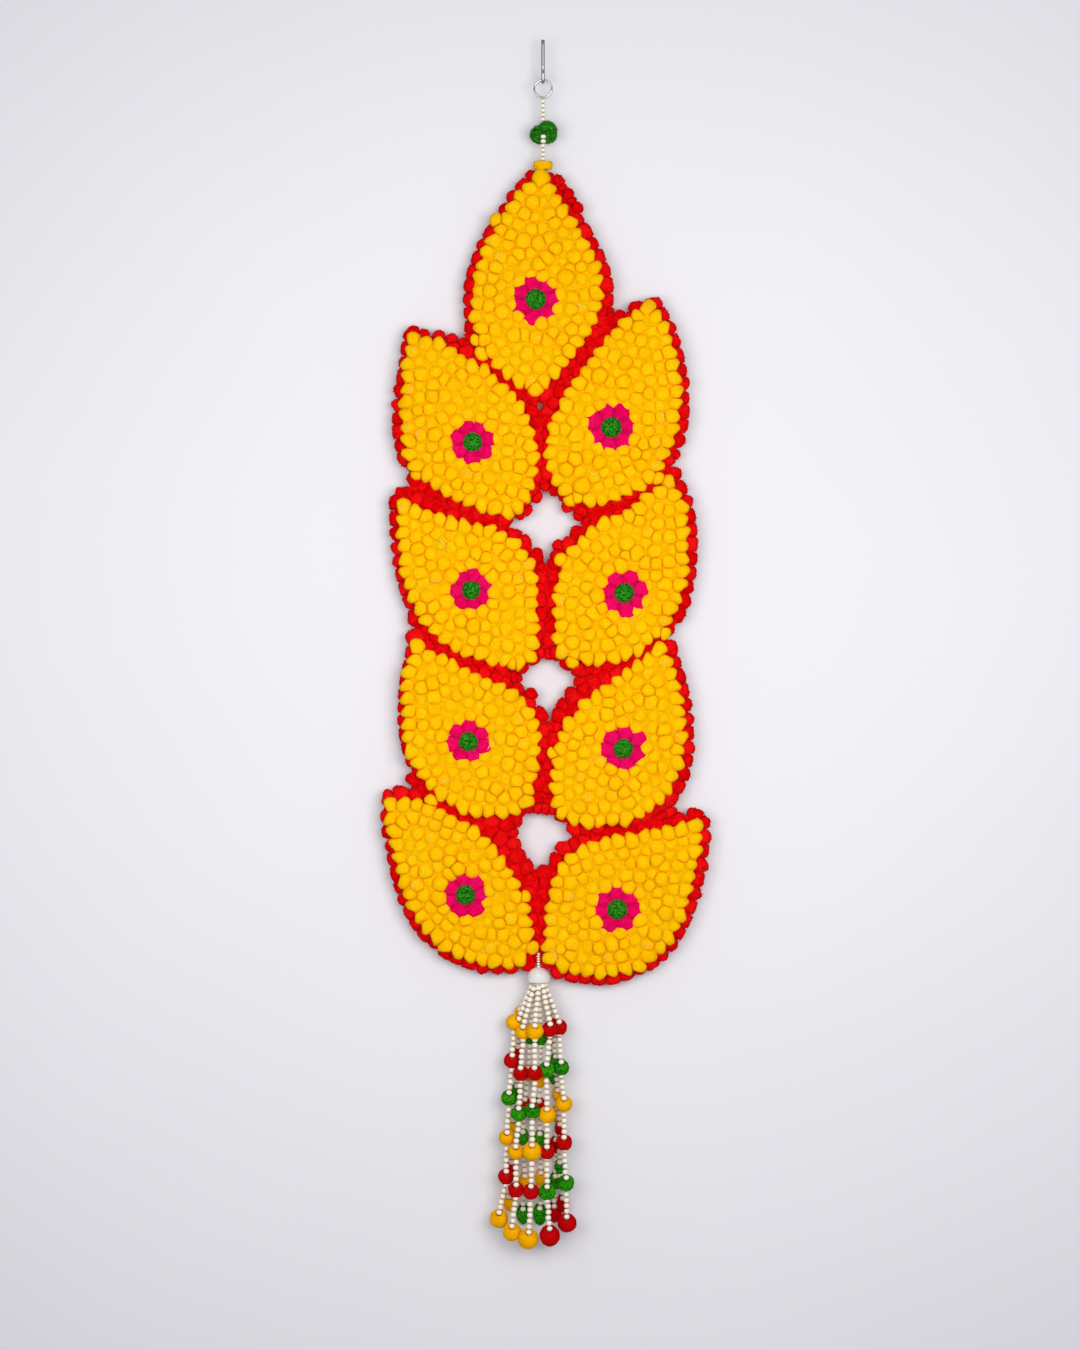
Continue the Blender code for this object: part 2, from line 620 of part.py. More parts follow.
def add_pair(material):
    """The two green pompoms tied side by side on the hanger."""
    lobes = []
    for x, y, z, radius in PAIR_LOBES:
        lobe = ball("hanger_pompoms", (radius,) * 3, 12, 7)
        lobes.append(add_object("hanger_pompoms", lobe, material, (x, y, z)))
    joined(*lobes)


def hung_strings():
    """Each string's stations, its root first and then its pompoms, pushed clear of the other strings."""
    stations = []
    weights = []
    reach = []
    owner = []
    per_string = len(STRINGS[0].colours) + 1
    for number, s in enumerate(STRINGS):
        angle = math.radians(s.angle)
        stations.append((AXIS_X + s.root * math.sin(angle), -s.root * math.cos(angle), HEAD_BOTTOM))
        for k in range(per_string - 1):
            share = k / (per_string - 2)
            stations.append((s.x_top + (s.x_end - s.x_top) * share, s.y_top + (s.y_end - s.y_top) * share,
                             s.first - k * s.pitch))
        for k in range(per_string - 1):
            size = s.radius * (END_SWELL if k == per_string - 2 else 1.0)
            spots = [(share, STRAND_RADIUS) for share in np.arange(0.0 if k else 0.35, 1.01, 0.15)]
            for share, radius in spots + [(1.0, size)]:
                row = np.zeros(len(STRINGS) * per_string)
                row[number * per_string + k] = 1.0 - share
                row[number * per_string + k + 1] = share
                weights.append(row)
                reach.append(radius)
                owner.append(number)
    stations, weights, reach, owner = (np.array(v) for v in (stations, weights, reach, owner))
    other = owner[:, None] != owner[None]
    need = reach[:, None] + reach[None] + STRING_GAP
    roots = np.arange(len(stations)) % per_string == 0
    for _ in range(300):
        spots = weights @ stations
        gap = spots[:, None] - spots[None]
        dist = np.linalg.norm(gap, axis=2) + 1e-6
        short = np.where(other, (need - dist).clip(0.0), 0.0)
        push = ((0.2 * short / dist)[..., None] * gap).sum(1)
        move = weights.T @ push * PUSH_SHARES
        move[roots] = 0.0
        stations = stations + move
    return stations.reshape(len(STRINGS), per_string, 3)


def strand_run(stations, radius):
    """One string as a tube's points: thin along its pearls, and swelling at each pompom."""
    run = [(*stations[0][:2], HEAD_BOTTOM + 1.5, STRAND_RADIUS), (*stations[0], STRAND_RADIUS)]
    for k in range(1, len(stations)):
        last = k == len(stations) - 1
        size = radius * (END_SWELL if last else 1.0)
        way = stations[k] - stations[k - 1]
        way /= np.linalg.norm(way)
        for share, swell in POMPOM_PROFILE:
            thin = STRAND_RADIUS if not (last and share > 0.9) else STRAND_RADIUS / 2
            run.append((*(stations[k] + way * share * size), swell * size if swell else thin))
    return run


def add_tassel(material):
    """The tassel's flat head with its strings of pearls and pompoms fused into it."""
    depth = CAP_BOTTOM - GAP - HEAD_BOTTOM
    built = bmesh.new()
    radius = HEAD_RADIUS * MM
    bmesh.ops.create_cone(built, cap_ends=True, segments=14, radius1=radius, radius2=radius, depth=depth * MM)
    bmesh.ops.translate(built, vec=Vector((AXIS_X, 0.0, HEAD_BOTTOM + depth / 2)) * MM, verts=built.verts)
    mesh = bpy.data.meshes.new("tassel")
    built.to_mesh(mesh)
    built.free()
    head = add_object("tassel", mesh, material)
    runs = [strand_run(stations, s.radius) for stations, s in zip(hung_strings(), STRINGS)]
    curve = tube("strands", runs, STRAND_RADIUS, 0)
    tubes = add_object("strands", curve, material)
    strands = bpy.data.meshes.new_from_object(tubes.evaluated_get(bpy.context.evaluated_depsgraph_get()))
    bpy.data.objects.remove(tubes)
    welded = bmesh.new()
    welded.from_mesh(strands)
    bmesh.ops.remove_doubles(welded, verts=welded.verts, dist=0.00001)
    welded.to_mesh(strands)
    welded.free()
    joined(head, add_object("strands", strands, material))


def add_hanger(steel, pearl, green, yellow):
    """Everything above the leaves: hook, ring, bead strings and their pompoms."""
    add_hook(steel)
    add_ring(steel)
    ring_bottom = RING_HEIGHT - RING_RADIUS - RING_WIRE
    add_beads("hanger_beads_upper", (0.0, 0.0, 0.0), ring_bottom - GAP, UPPER_BEADS_END, BEAD_RADIUS, pearl)
    add_pair(green)
    add_beads("hanger_beads_lower", (0.0, 0.0, 0.0), LOWER_BEADS_TOP, COLLAR_TOP + GAP, BEAD_RADIUS, pearl)
    height = COLLAR_TOP - COLLAR_BOTTOM
    profile = [(r * COLLAR_RADIUS, COLLAR_TOP - share * height) for r, share in COLLAR_PROFILE]
    collar = add_turned("collar_pompom", profile, (0.0, 0.0, 0.0), yellow, 12)
    collar.scale = (1.0, COLLAR_DEPTH_SCALE, 1.0)


def add_tassel_top(pearl, white):
    """The tassel's short stem of beads and its half-ball cap."""
    add_beads("tassel_stem", (AXIS_X, 0.0, 0.0), STEM_TOP, CAP_TOP + GAP, STEM_RADIUS, pearl)
    height = CAP_TOP - CAP_BOTTOM
    profile = [(CAP_RADIUS * math.sin(a), CAP_BOTTOM + 1.0 + (height - 1.0) * math.cos(a))
               for a in np.linspace(0.0, math.pi / 2, 6)]
    profile += [(CAP_RADIUS - 1.0, CAP_BOTTOM), (0.0, CAP_BOTTOM)]
    add_turned("tassel_cap", profile, (AXIS_X, 0.0, 0.0), white, 12)


def add_leaves(yellow, red, pink, green):
    """The nine leaves, each a ground, a field, a flower and its green centre."""
    outlines = [leaf_outline(leaf) for leaf in LEAVES]
    for index, leaf in enumerate(LEAVES):
        add_ground(leaf, ground_rim(*ground_curve(index, outlines)), red)
        points, on_edge = field_pompoms(leaf, outlines[index], FIRST_SEED + index)
        add_field(leaf, points, on_edge, FIRST_SEED + index, yellow)
        add_flower(leaf, index, pink)
        x, z = leaf.flower
        radii = (CENTRE_RADIUS, CENTRE_HALF_DEPTH, CENTRE_RADIUS)
        name = f"leaf_{leaf.name}_centre"
        add_object(name, ball(name, radii, 8, 5), green, (x, CENTRE_SEAT - GAP - CENTRE_HALF_DEPTH, z))


def main():
    for thing in list(bpy.data.objects):
        bpy.data.objects.remove(thing)
    bpy.context.scene.collection.children.link(bpy.data.collections.new(COLLECTION))
    yellow = finish("yellow acrylic pompom", YELLOW)
    red = finish("red acrylic pompom", RED)
    pink = finish("magenta acrylic pompom", PINK)
    green = finish("green acrylic pompom", GREEN)
    pearl = finish("pearl bead", PEARL)
    white = finish("white pile", WHITE)
    steel = finish("plated steel", STEEL, 1.0)
    add_hanger(steel, pearl, green, yellow)
    add_leaves(yellow, red, pink, green)
    add_tassel_top(pearl, white)
    add_tassel(pearl)


main()
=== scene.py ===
"""The looks of a marigold leaf hanging: pompoms, pearls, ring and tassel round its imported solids.

Tables and layout are in millimetres, and meshes in metres. The front faces -Y and +Z is up.
"""

import math
from collections import namedtuple

import bmesh
import bpy
import numpy as np
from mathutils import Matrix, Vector, geometry


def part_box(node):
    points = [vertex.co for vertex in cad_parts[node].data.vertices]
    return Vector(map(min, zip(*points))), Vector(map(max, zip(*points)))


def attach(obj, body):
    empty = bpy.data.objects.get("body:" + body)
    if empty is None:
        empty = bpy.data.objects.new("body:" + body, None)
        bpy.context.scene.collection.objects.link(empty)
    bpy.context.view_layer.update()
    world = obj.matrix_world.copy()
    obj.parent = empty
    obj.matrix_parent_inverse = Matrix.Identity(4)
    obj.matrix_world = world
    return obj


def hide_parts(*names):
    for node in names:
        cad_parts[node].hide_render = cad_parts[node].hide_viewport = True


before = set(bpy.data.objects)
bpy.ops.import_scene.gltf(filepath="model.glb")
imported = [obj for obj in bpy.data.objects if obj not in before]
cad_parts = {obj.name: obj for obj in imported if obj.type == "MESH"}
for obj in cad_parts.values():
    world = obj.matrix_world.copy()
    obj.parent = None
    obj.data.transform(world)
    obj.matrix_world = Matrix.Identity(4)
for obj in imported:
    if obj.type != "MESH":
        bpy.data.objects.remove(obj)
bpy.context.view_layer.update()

MM = 0.001
SEED = 5
LEAVES = ("top", "right_1", "left_1", "right_2", "left_2", "right_3", "left_3", "right_4", "left_4")

# Pompoms: a ball of cut yarn, pressed flat where it meets its neighbours
PRESS = 12.0                    # a higher power gives sharper seams between two
WAVES = 5                       # low swellings that make a ball uneven
WAVE_HEIGHT = 0.016
CUT_UNEVEN = 0.16               # how far the trimmed yarn ends stand in or out
SEAM_GAP = 0.05
# Yarn ends that stand out of each pompom: how many, how long, how wide at the foot, and how far they lean
YARN_ENDS = {
    "yellow": (26, 1.3, 0.55, 0.5),
    "red": (100, 2.3, 0.9, 0.6),
    "flower": (800, 2.0, 0.55, 0.5),
    "hanger": (800, 2.4, 0.6, 0.5),
    "collar": (420, 1.3, 0.5, 0.5),
    "tassel": (80, 1.0, 0.45, 0.35),
    "cap": (500, 0.7, 0.35, 0.35),
}

YELLOW_RADIUS = (9.0, 0.75)     # mean and spread
YELLOW_SQUEEZE = 0.78           # depth for each unit of width
YELLOW_SHIFT = (1.1, 1.15, 1.1) # how far hand sewing sets one off its place
YELLOW_AT_RIM = (0.7, 3.8)      # how far past the rim one may stand, and its ball past that
YELLOW_FRONT = -11.0            # the crown of one sewn outside the rows
TIP_RADIUS = 10.4               # the one that stands at the top leaf's tip
TIP_PLACE = (-2.0, -3.6, -141.0)
TIP_SQUEEZE = (0.88, 0.78, 1.14)
# Pompoms that a hand sewed a little outside the even rows: x, z and radius
EXTRA_YELLOW = {
    "top": ((-7.3, -347.5, 9.2), (-60.1, -312.4, 8.4), (-46.0, -181.0, 7.6), (-66.0, -300.0, 7.0)),
    "left_1": ((-126.0, -434.0, 6.6),),
    "right_1": ((28.0, -459.0, 8.0),),
    "left_2": ((-30.0, -623.0, 7.0),),
    "right_2": ((30.0, -621.0, 7.4), (121.0, -593.0, 7.0), (115.0, -439.0, 7.0), (18.0, -520.0, 7.0)),
    "right_3": ((11.0, -713.0, 7.0),),
    "left_4": ((-11.5, -907.0, 7.6), (-19.0, -857.0, 7.0), (-112.0, -761.0, 6.8)),
}
EXTRA_RED = {
    "top": ((14.0, -142.0, 8.0), (18.6, -148.4, 6.6), (23.2, -154.4, 8.0), (27.6, -161.4, 6.8),
            (32.2, -168.0, 8.2), (66.0, -272.0, 6.0)),
    "left_1": ((-104.0, -296.0, 6.5), (-91.0, -300.0, 7.0), (-80.0, -303.0, 6.0), (-17.5, -469.0, 6.8),
               (-7.5, -456.0, 7.2), (2.0, -445.0, 6.6), (-23.0, -475.0, 5.0)),
    "right_1": ((12.0, -450.0, 6.6), (25.0, -466.0, 6.6), (37.0, -474.0, 7.2), (43.5, -481.0, 6.8)),
    "left_2": ((-3.0, -612.0, 7.0),),
    "right_2": ((6.0, -613.0, 7.0), (16.0, -506.0, 7.0)),
    "left_3": ((-28.0, -638.0, 7.4), (-13.0, -655.0, 7.4), (-5.0, -767.0, 7.0)),
    "right_3": ((3.0, -768.0, 7.4), (37.0, -642.0, 7.0)),
    "left_4": ((-31.0, -793.0, 7.0), (-5.0, -918.0, 5.5)),
    "right_4": ((128.0, -773.0, 7.4), (116.0, -774.0, 6.0)),
}
# Corners of a base that stay bare: x, z and how far round
BARE_CORNERS = {
    "left_2": ((-144.0, -446.0, 9.0),),
    "left_3": ((-132.0, -589.0, 9.0),),
}
FIELD_CROWN_LIMIT = -9.3        # the solids' lumps all rise past this depth
PETAL_CROWN_LIMIT = -9.0

RED_RADIUS = (9.8, 0.7)
RED_SQUEEZE = 0.68
RED_DEPTH = 3.2                 # where a red pompom's middle lies
RED_BACK = 4.9                  # from its middle to the base cloth
RED_AT_RIM = (0.9, 2.4)
SCALLOP_EDGE = (5.6, 9.0)       # an edge of the rim this long is the crown of a scallop
PLAIN_EDGE = 9.0
FREE_INSET = 7.2
MEETING_INSET = 6.3
RED_CLOSEST = 10.6
RED_UNDER_YELLOW = 3.0          # the border reaches this far in under the yellow field
FILL_STEP = 1.5
MEETING = 4.0                   # two leaves' rims this close are sewn together

PETAL_RADIUS = 11.4
PETAL_SQUEEZE = 0.46
FLOWER_RADIUS = (15.6, 21.8)    # the yellow pompoms stop here between two petals, and at a petal's point
PETAL_RISE = 1.2
# How each flower sits off its leaf's middle, and its size: x, z and scale
FLOWER_FIT = {"top": (0.5, 0.0, 1.08), "left_1": (2.0, -1.5, 0.97), "left_2": (1.0, -0.5, 0.93),
              "left_3": (1.5, -1.5, 0.96), "left_4": (2.5, -1.0, 1.0), "right_1": (0.0, -1.0, 1.12),
              "right_2": (1.0, -1.5, 1.05), "right_3": (2.0, 0.0, 1.05), "right_4": (0.0, 0.0, 1.05)}
BED_DEPTH = 3.7                 # matted yarn ends close the gaps this far below the crowns
BED_INSET = 1.0                 # and reach this close to the rim
FLOWER_BED = 15.6               # the matted yarn under a flower: its radius
RED_BED = (3.6, -0.9)           # and between a border's pompoms: inside the rim, and depth
CENTRE_RADIUS = 9.2
CENTRE_SQUEEZE = 0.58

# Backs: felt, and the stitches through it
FELT_INSET = 3.4
FELT_DEPTH = 8.9
FELT_THICK = 1.2
STITCH_RUN = (8, 5)             # from one stitch to the next, and how much of it shows
STITCH_INSET = 7.0
STITCH_DEPTH = 9.2
STITCH_RISE = 0.9               # a stitch stands out this far at its middle
STITCH_RADIUS = 0.42

# Hook, ring and hanger
HOOK_BEND = 3.3
HOOK_WIRE = 1.75
HOOK_POINT = (0.94, 0.7, 0.35)  # the wire's end is filed round, by these shares of its width
RING_WIRE = 0.98
RING_INSIDE = 0.95              # the wire's middle lies this far inside the solid's edge
RING_TURNS = (-0.55, 1.5)       # the split ring is wound a little over twice
RING_WIDE = 1.9                 # from one turn's middle to the other end's
HANGER_PEARLS = (4.9, 2.85)     # from one pearl to the next, and radius
STEM_PEARLS = (2.6, 1.7)
# Pearls of the lower string that lie on the green pompoms: across, deep and up
FRONT_PEARLS = ((0.3, -8.4, 3.4), (0.2, -6.6, -0.9))
# The green pompoms: x, y, z, radius and tone
HANGER_GREENS = ((-4.4, 0.0, -95.0, 8.2, 0.4), (4.4, 0.0, -91.0, 9.4, 0.5), (5.0, -0.6, -94.6, 8.6, 0.45))
COLLAR_RADIUS = 9.4
COLLAR_UP = 2.6                 # its flat top lies this far above its middle

# Tassel
AXIS_X = -4.5
HEAD_BOTTOM = -945.5
STRAND_RADIUS = 2.7
STRING_GAP = 0.7
PUSH_SHARES = (0.4, 1.0, 0.0)   # crowded strings give way mostly in depth
END_SWELL = 1.16                # the last pompom of a string is this much larger
String = namedtuple("String", "name root angle first pitch x_top x_end y_top y_end radius colours")
STRINGS = (
    String("a", 8.2, -80.0, -982.0, 39.2, -29.0, -44.0, -2.0, -3.0, 7.4, "YRGYRY"),
    String("b", 8.2, -40.0, -991.0, 39.8, -20.0, -31.0, -10.0, -13.0, 7.3, "YRGYRY"),
    String("c", 8.2, 0.0, -989.5, 41.5, -8.0, -14.5, -14.5, -18.0, 7.8, "YRGYRY"),
    String("d", 8.2, 40.0, -988.0, 41.0, 7.0, 6.5, -10.0, -17.0, 8.0, "RGYRGR"),
    String("e", 8.2, 80.0, -987.0, 39.0, 16.0, 24.0, -5.0, -6.0, 7.6, "RGYRGR"),
    String("i", 8.2, 120.0, -981.0, 36.4, 11.0, 20.0, 9.0, 10.0, 5.8, "RGYRGR"),
    String("h", 8.2, 160.0, -997.0, 35.2, 8.0, 11.5, 15.0, 16.0, 6.8, "RGYRGR"),
    String("j", 8.2, -160.0, -998.0, 35.6, -13.0, -20.0, 14.0, 14.0, 6.2, "GYRGYG"),
    String("f", 8.2, -120.0, -974.0, 37.3, -23.0, -34.0, 9.0, 11.0, 5.8, "YRGYRY"),
    String("g", 0.0, 0.0, -997.0, 35.4, -2.5, -3.0, 1.0, 1.0, 6.8, "GYRGYG"),
)
# Where the pompoms of the strings hang: x and z
PLACES = {
    "a": ((-29, -982), (-31, -1020), (-34, -1057.5), (-36, -1097), (-37, -1136), (-44, -1178)),
    "b": ((-20, -991), (-22, -1032), (-24, -1072), (-27, -1110), (-27, -1148), (-31, -1190)),
    "c": ((-8, -989.5), (-8, -1031), (-10.5, -1069), (-11, -1109), (-12, -1149), (-14.5, -1196)),
    "d": ((7, -988), (3.5, -1028), (4, -1073), (4, -1110), (4, -1150), (6.5, -1193)),
    "e": ((16, -987), (18, -1027), (21, -1063), (21, -1102), (23, -1142), (24, -1182)),
    "f": ((-23, -974), (-25, -1011.5), (-26, -1051), (-29, -1085), (-31, -1127.5), (-34, -1163)),
    "g": ((-2, -997), (-2.5, -1038.5), (-3.5, -1066), (-3, -1098.5), (-2, -1137.5), (-3, -1174)),
    "h": ((8, -997), (11.5, -1036.5), (14.5, -1075.5), (13, -1106.5), (12.5, -1143), (11.5, -1174)),
    "i": ((11, -981), (12.5, -1021.5), (15, -1055), (17, -1089), (17, -1127.5), (20, -1164)),
    "j": ((-13, -998), (-15, -1034), (-18.5, -1065), (-20, -1098), (-18.5, -1142), (-20, -1176)),
}
# How full each pompom of a string is, where they differ
FULLNESS = {
    "c": (1.0, 0.93, 0.92, 1.14, 0.95, 1.05),
    "d": (0.9, 0.9, 1.0, 0.88, 0.98, 1.05),
}
FIRST_ENTRY = {"a": 5.0}        # this string meets its first pompom at the side
HINDMOST = "fghij"
UPRIGHT = (0.84, 0.9, 1.3)      # their pompoms are squeezed tall between the other strings
SEEDED = "ade"                  # a small clear bead ends each of these strings
ENTRY = (-0.46, 0.74)           # a string enters a pompom here, deep and up, for each unit of its radius
FOOT = -0.86                    # and leaves it here
SEED_UNDER = -0.42
CORE_RADIUS = 0.9
# The core yarn is dark amber and the middle core is thick, so that they stand in for the shade between the
# strings: real thread, its colour painted shade
MIDDLE_CORE_RADIUS = 1.3        # the middle string's, which shows between the others
KNOT = ((-941.8, 5.2), (-942.6, 6.4), (-944.6, 6.8), (-946.2, 5.6))     # height and radius
CAP_RADIUS = 11.5
CAP_FLAT = (3.4, 3.6)           # its middle stands this far above the cap's foot, and its flat below that
PEARL_RADIUS = 2.95
PEARL_PITCH = 5.6
PEARL_CLOSEST = 4.7
ROOT_DRAW = 0.85                # the strings are gathered this close at the head

rng = np.random.default_rng(SEED)


# Materials

def linear(hex_colour):
    """An sRGB hex colour as linear RGBA."""
    parts = [int(hex_colour[k:k + 2], 16) / 255 for k in (0, 2, 4)]
    return [c / 12.92 if c <= 0.04045 else ((c + 0.055) / 1.055) ** 2.4 for c in parts] + [1.0]


def node(tree, kind, inputs=None, **settings):
    """Adds a node. An input is a constant, or the output of another node to link."""
    made = tree.nodes.new(kind)
    for name, value in settings.items():
        setattr(made, name, value)
    for name, value in (inputs or {}).items():
        if isinstance(value, bpy.types.NodeSocket):
            tree.links.new(value, made.inputs[name])
        else:
            made.inputs[name].default_value = value
    return made


def new_material(name, **constants):
    """A material with its shader, whose named inputs are constants, and its place on the piece in metres."""
    material = bpy.data.materials.new(name)
    material.use_nodes = True
    tree = material.node_tree
    shader = tree.nodes["Principled BSDF"]
    for socket, value in constants.items():
        shader.inputs[socket.replace("_", " ")].default_value = value
    place = node(tree, "ShaderNodeTexCoord").outputs["Object"]
    return material, tree, shader, place


def per_mm(size):
    """The scale of a texture in metres whose features are this many millimetres wide."""
    return 1.0 / (size * MM)


def cut_pile(name, deep, body, bright, clump=3.0, contrast=0.7):
    """Acrylic yarn, wound, tied and trimmed to a ball: matt, soft at the rim, mottled by its cut ends.

    The real ends are too fine to show, so they are drawn as specks of 1.3 mm. Where a pompom is pressed in at
    its seams, its colour is darkened towards the deep colour as painted shade.
    """
    material, tree, shader, place = new_material(
        name, Roughness=0.92, Specular_IOR_Level=0.02, Sheen_Weight=0.06, Sheen_Roughness=0.45,
        Sheen_Tint=linear(bright), Subsurface_Weight=0.3, Subsurface_Radius=(1.0, 0.5, 0.25),
        Subsurface_Scale=2.5 * MM)
    ends = node(tree, "ShaderNodeTexNoise", {"Vector": place, "Scale": per_mm(1.3), "Detail": 3.0,
                                             "Roughness": 0.6}).outputs["Fac"]
    tufts = node(tree, "ShaderNodeTexNoise", {"Vector": place, "Scale": per_mm(clump),
                                              "Detail": 1.0}).outputs["Fac"]
    tone = node(tree, "ShaderNodeAttribute", attribute_name="tone").outputs["Fac"]
    # Painted shade: a pompom's colour darkens towards the deep colour where it is pressed in at its seams
    seam = node(tree, "ShaderNodeAttribute", attribute_name="seam").outputs["Fac"]
    mixed = node(tree, "ShaderNodeMath", {0: ends, 1: tufts}, operation="ADD").outputs[0]
    uneven = node(tree, "ShaderNodeMapRange", {"Value": mixed, "From Min": 0.7, "From Max": 1.3,
                                               "To Min": -contrast, "To Max": contrast}).outputs[0]
    level = node(tree, "ShaderNodeMath", {0: tone, 1: uneven}, operation="ADD", use_clamp=True).outputs[0]
    ramp = node(tree, "ShaderNodeValToRGB", {"Fac": level})
    ramp.color_ramp.elements[0].color = linear(body)
    ramp.color_ramp.elements[1].color = linear(bright)
    # The seams' painted shade is stronger in some patches than in others, as the fuzz closes some seams and
    # leaves others open
    patches = node(tree, "ShaderNodeTexNoise", {"Vector": place, "Scale": per_mm(8.0),
                                                "Detail": 1.0}).outputs["Fac"]
    painted_shade_patches = node(tree, "ShaderNodeMapRange", {"Value": patches, "From Min": 0.35, "From Max": 0.65,
                                                  "To Min": 0.4, "To Max": 1.3}).outputs[0]
    shade = node(tree, "ShaderNodeMath", {0: seam, 1: painted_shade_patches}, operation="MULTIPLY",
                 use_clamp=True).outputs[0]
    colour = node(tree, "ShaderNodeMix", {"Factor": shade, "A": ramp.outputs["Color"], "B": linear(deep)},
                  data_type="RGBA")
    tree.links.new(colour.outputs[2], shader.inputs["Base Color"])
    bump = node(tree, "ShaderNodeBump", {"Height": mixed, "Strength": 0.7, "Distance": 0.5 * MM})
    tree.links.new(bump.outputs["Normal"], shader.inputs["Normal"])
    return material


def pearl_lacquer():
    """Moulded beads under pearl lacquer: a warm white skin with a clear, sharp highlight."""
    material, tree, shader, place = new_material(
        "lacquered pearl bead", Roughness=0.22, IOR=1.52, Coat_Weight=0.7, Coat_Roughness=0.06)
    cloud = node(tree, "ShaderNodeTexNoise", {"Vector": place, "Scale": per_mm(4.0)}).outputs["Fac"]
    ramp = node(tree, "ShaderNodeValToRGB", {"Fac": cloud})
    ramp.color_ramp.elements[0].color = linear("f4ead4")
    ramp.color_ramp.elements[1].color = linear("fffaee")
    # Painted shade: round the holes, where one bead meets the next, the skin is darkened to a warm brown
    painted_waist_shade = node(tree, "ShaderNodeAttribute", attribute_name="seam").outputs["Fac"]
    skin = node(tree, "ShaderNodeMix", {"Factor": painted_waist_shade, "A": ramp.outputs["Color"], "B": linear("a5803f")},
                data_type="RGBA")
    tree.links.new(skin.outputs[2], shader.inputs["Base Color"])
    worn = node(tree, "ShaderNodeMapRange", {"Value": cloud, "To Min": 0.16, "To Max": 0.3}).outputs[0]
    tree.links.new(worn, shader.inputs["Roughness"])
    return material


def clear_bead():
    """Moulded clear acrylic: see-through, with a bright edge."""
    material, tree, shader, place = new_material(
        "clear acrylic bead", Base_Color=linear("f4f4f2"), Roughness=0.06, IOR=1.49, Transmission_Weight=0.4)
    haze = node(tree, "ShaderNodeTexNoise", {"Vector": place, "Scale": per_mm(1.5)}).outputs["Fac"]
    rough = node(tree, "ShaderNodeMapRange", {"Value": haze, "To Min": 0.03, "To Max": 0.15}).outputs[0]
    tree.links.new(rough, shader.inputs["Roughness"])
    return material


def steel(name, dark, light, rough_low, rough_high, grain):
    """Drawn steel wire, plated or bare: bright, clouded by drawing marks, which are coarser here to show."""
    material, tree, shader, place = new_material(name, Metallic=1.0)
    marks = node(tree, "ShaderNodeTexNoise", {"Vector": place, "Scale": per_mm(grain),
                                              "Detail": 3.0}).outputs["Fac"]
    ramp = node(tree, "ShaderNodeValToRGB", {"Fac": marks})
    ramp.color_ramp.elements[0].color = linear(dark)
    ramp.color_ramp.elements[1].color = linear(light)
    tree.links.new(ramp.outputs["Color"], shader.inputs["Base Color"])
    rough = node(tree, "ShaderNodeMapRange", {"Value": marks, "To Min": rough_low,
                                              "To Max": rough_high}).outputs[0]
    tree.links.new(rough, shader.inputs["Roughness"])
    return material


def felt(name, dark, light):
    """Needle-punched acrylic felt: flat and matt, with fibres every way, drawn at 1.4 mm so that they show."""
    material, tree, shader, place = new_material(
        name, Roughness=0.95, Specular_IOR_Level=0.1, Sheen_Weight=0.2, Sheen_Tint=linear(light))
    fibres = node(tree, "ShaderNodeTexNoise", {"Vector": place, "Scale": per_mm(1.4), "Detail": 5.0,
                                               "Roughness": 0.7, "Distortion": 2.0}).outputs["Fac"]
    ramp = node(tree, "ShaderNodeValToRGB", {"Fac": fibres})
    ramp.color_ramp.elements[0].color = linear(dark)
    ramp.color_ramp.elements[0].position = 0.3
    ramp.color_ramp.elements[1].color = linear(light)
    ramp.color_ramp.elements[1].position = 0.75
    tree.links.new(ramp.outputs["Color"], shader.inputs["Base Color"])
    bump = node(tree, "ShaderNodeBump", {"Height": fibres, "Strength": 0.6, "Distance": 0.3 * MM})
    tree.links.new(bump.outputs["Normal"], shader.inputs["Normal"])
    return material


def spun_thread(name, dark, light):
    """Spun thread or yarn of two plies, a little shiny along the twist. The plies are coarser here to show."""
    material, tree, shader, place = new_material(name, Roughness=0.6, Sheen_Weight=0.2)
    plies = node(tree, "ShaderNodeTexWave", {"Vector": place, "Scale": per_mm(6.0), "Distortion": 1.5},
                 bands_direction="DIAGONAL").outputs["Fac"]
    ramp = node(tree, "ShaderNodeValToRGB", {"Fac": plies})
    ramp.color_ramp.elements[0].color = linear(dark)
    ramp.color_ramp.elements[1].color = linear(light)
    tree.links.new(ramp.outputs["Color"], shader.inputs["Base Color"])
    return material


def matt_paint(name, colour):
    """Flat wall paint of the studio."""
    material, tree, shader, place = new_material(name, Roughness=0.9, Specular_IOR_Level=0.1)
    mottle = node(tree, "ShaderNodeTexNoise", {"Vector": place, "Scale": per_mm(300.0)}).outputs["Fac"]
    level = node(tree, "ShaderNodeMapRange", {"Value": mottle, "To Min": 0.97, "To Max": 1.0}).outputs[0]
    tint = node(tree, "ShaderNodeMix", {"Factor": level, "A": linear("000000"), "B": linear(colour)},
                data_type="RGBA")
    tree.links.new(tint.outputs[2], shader.inputs["Base Color"])
    return material


# Meshes: a part is its points in millimetres, its triangles, and their tone and painted seam shade

Part = namedtuple("Part", "points faces tone seam")


def unit_ball(level):
    """The points and triangles of an even ball of radius 1."""
    built = bmesh.new()
    bmesh.ops.create_icosphere(built, subdivisions=level, radius=1.0)
    built.verts.index_update()
    points = np.array([v.co for v in built.verts])
    faces = np.array([[v.index for v in f.verts] for f in built.faces])
    built.free()
    return points, faces


BALLS = {level: unit_ball(level) for level in (3, 4, 5)}


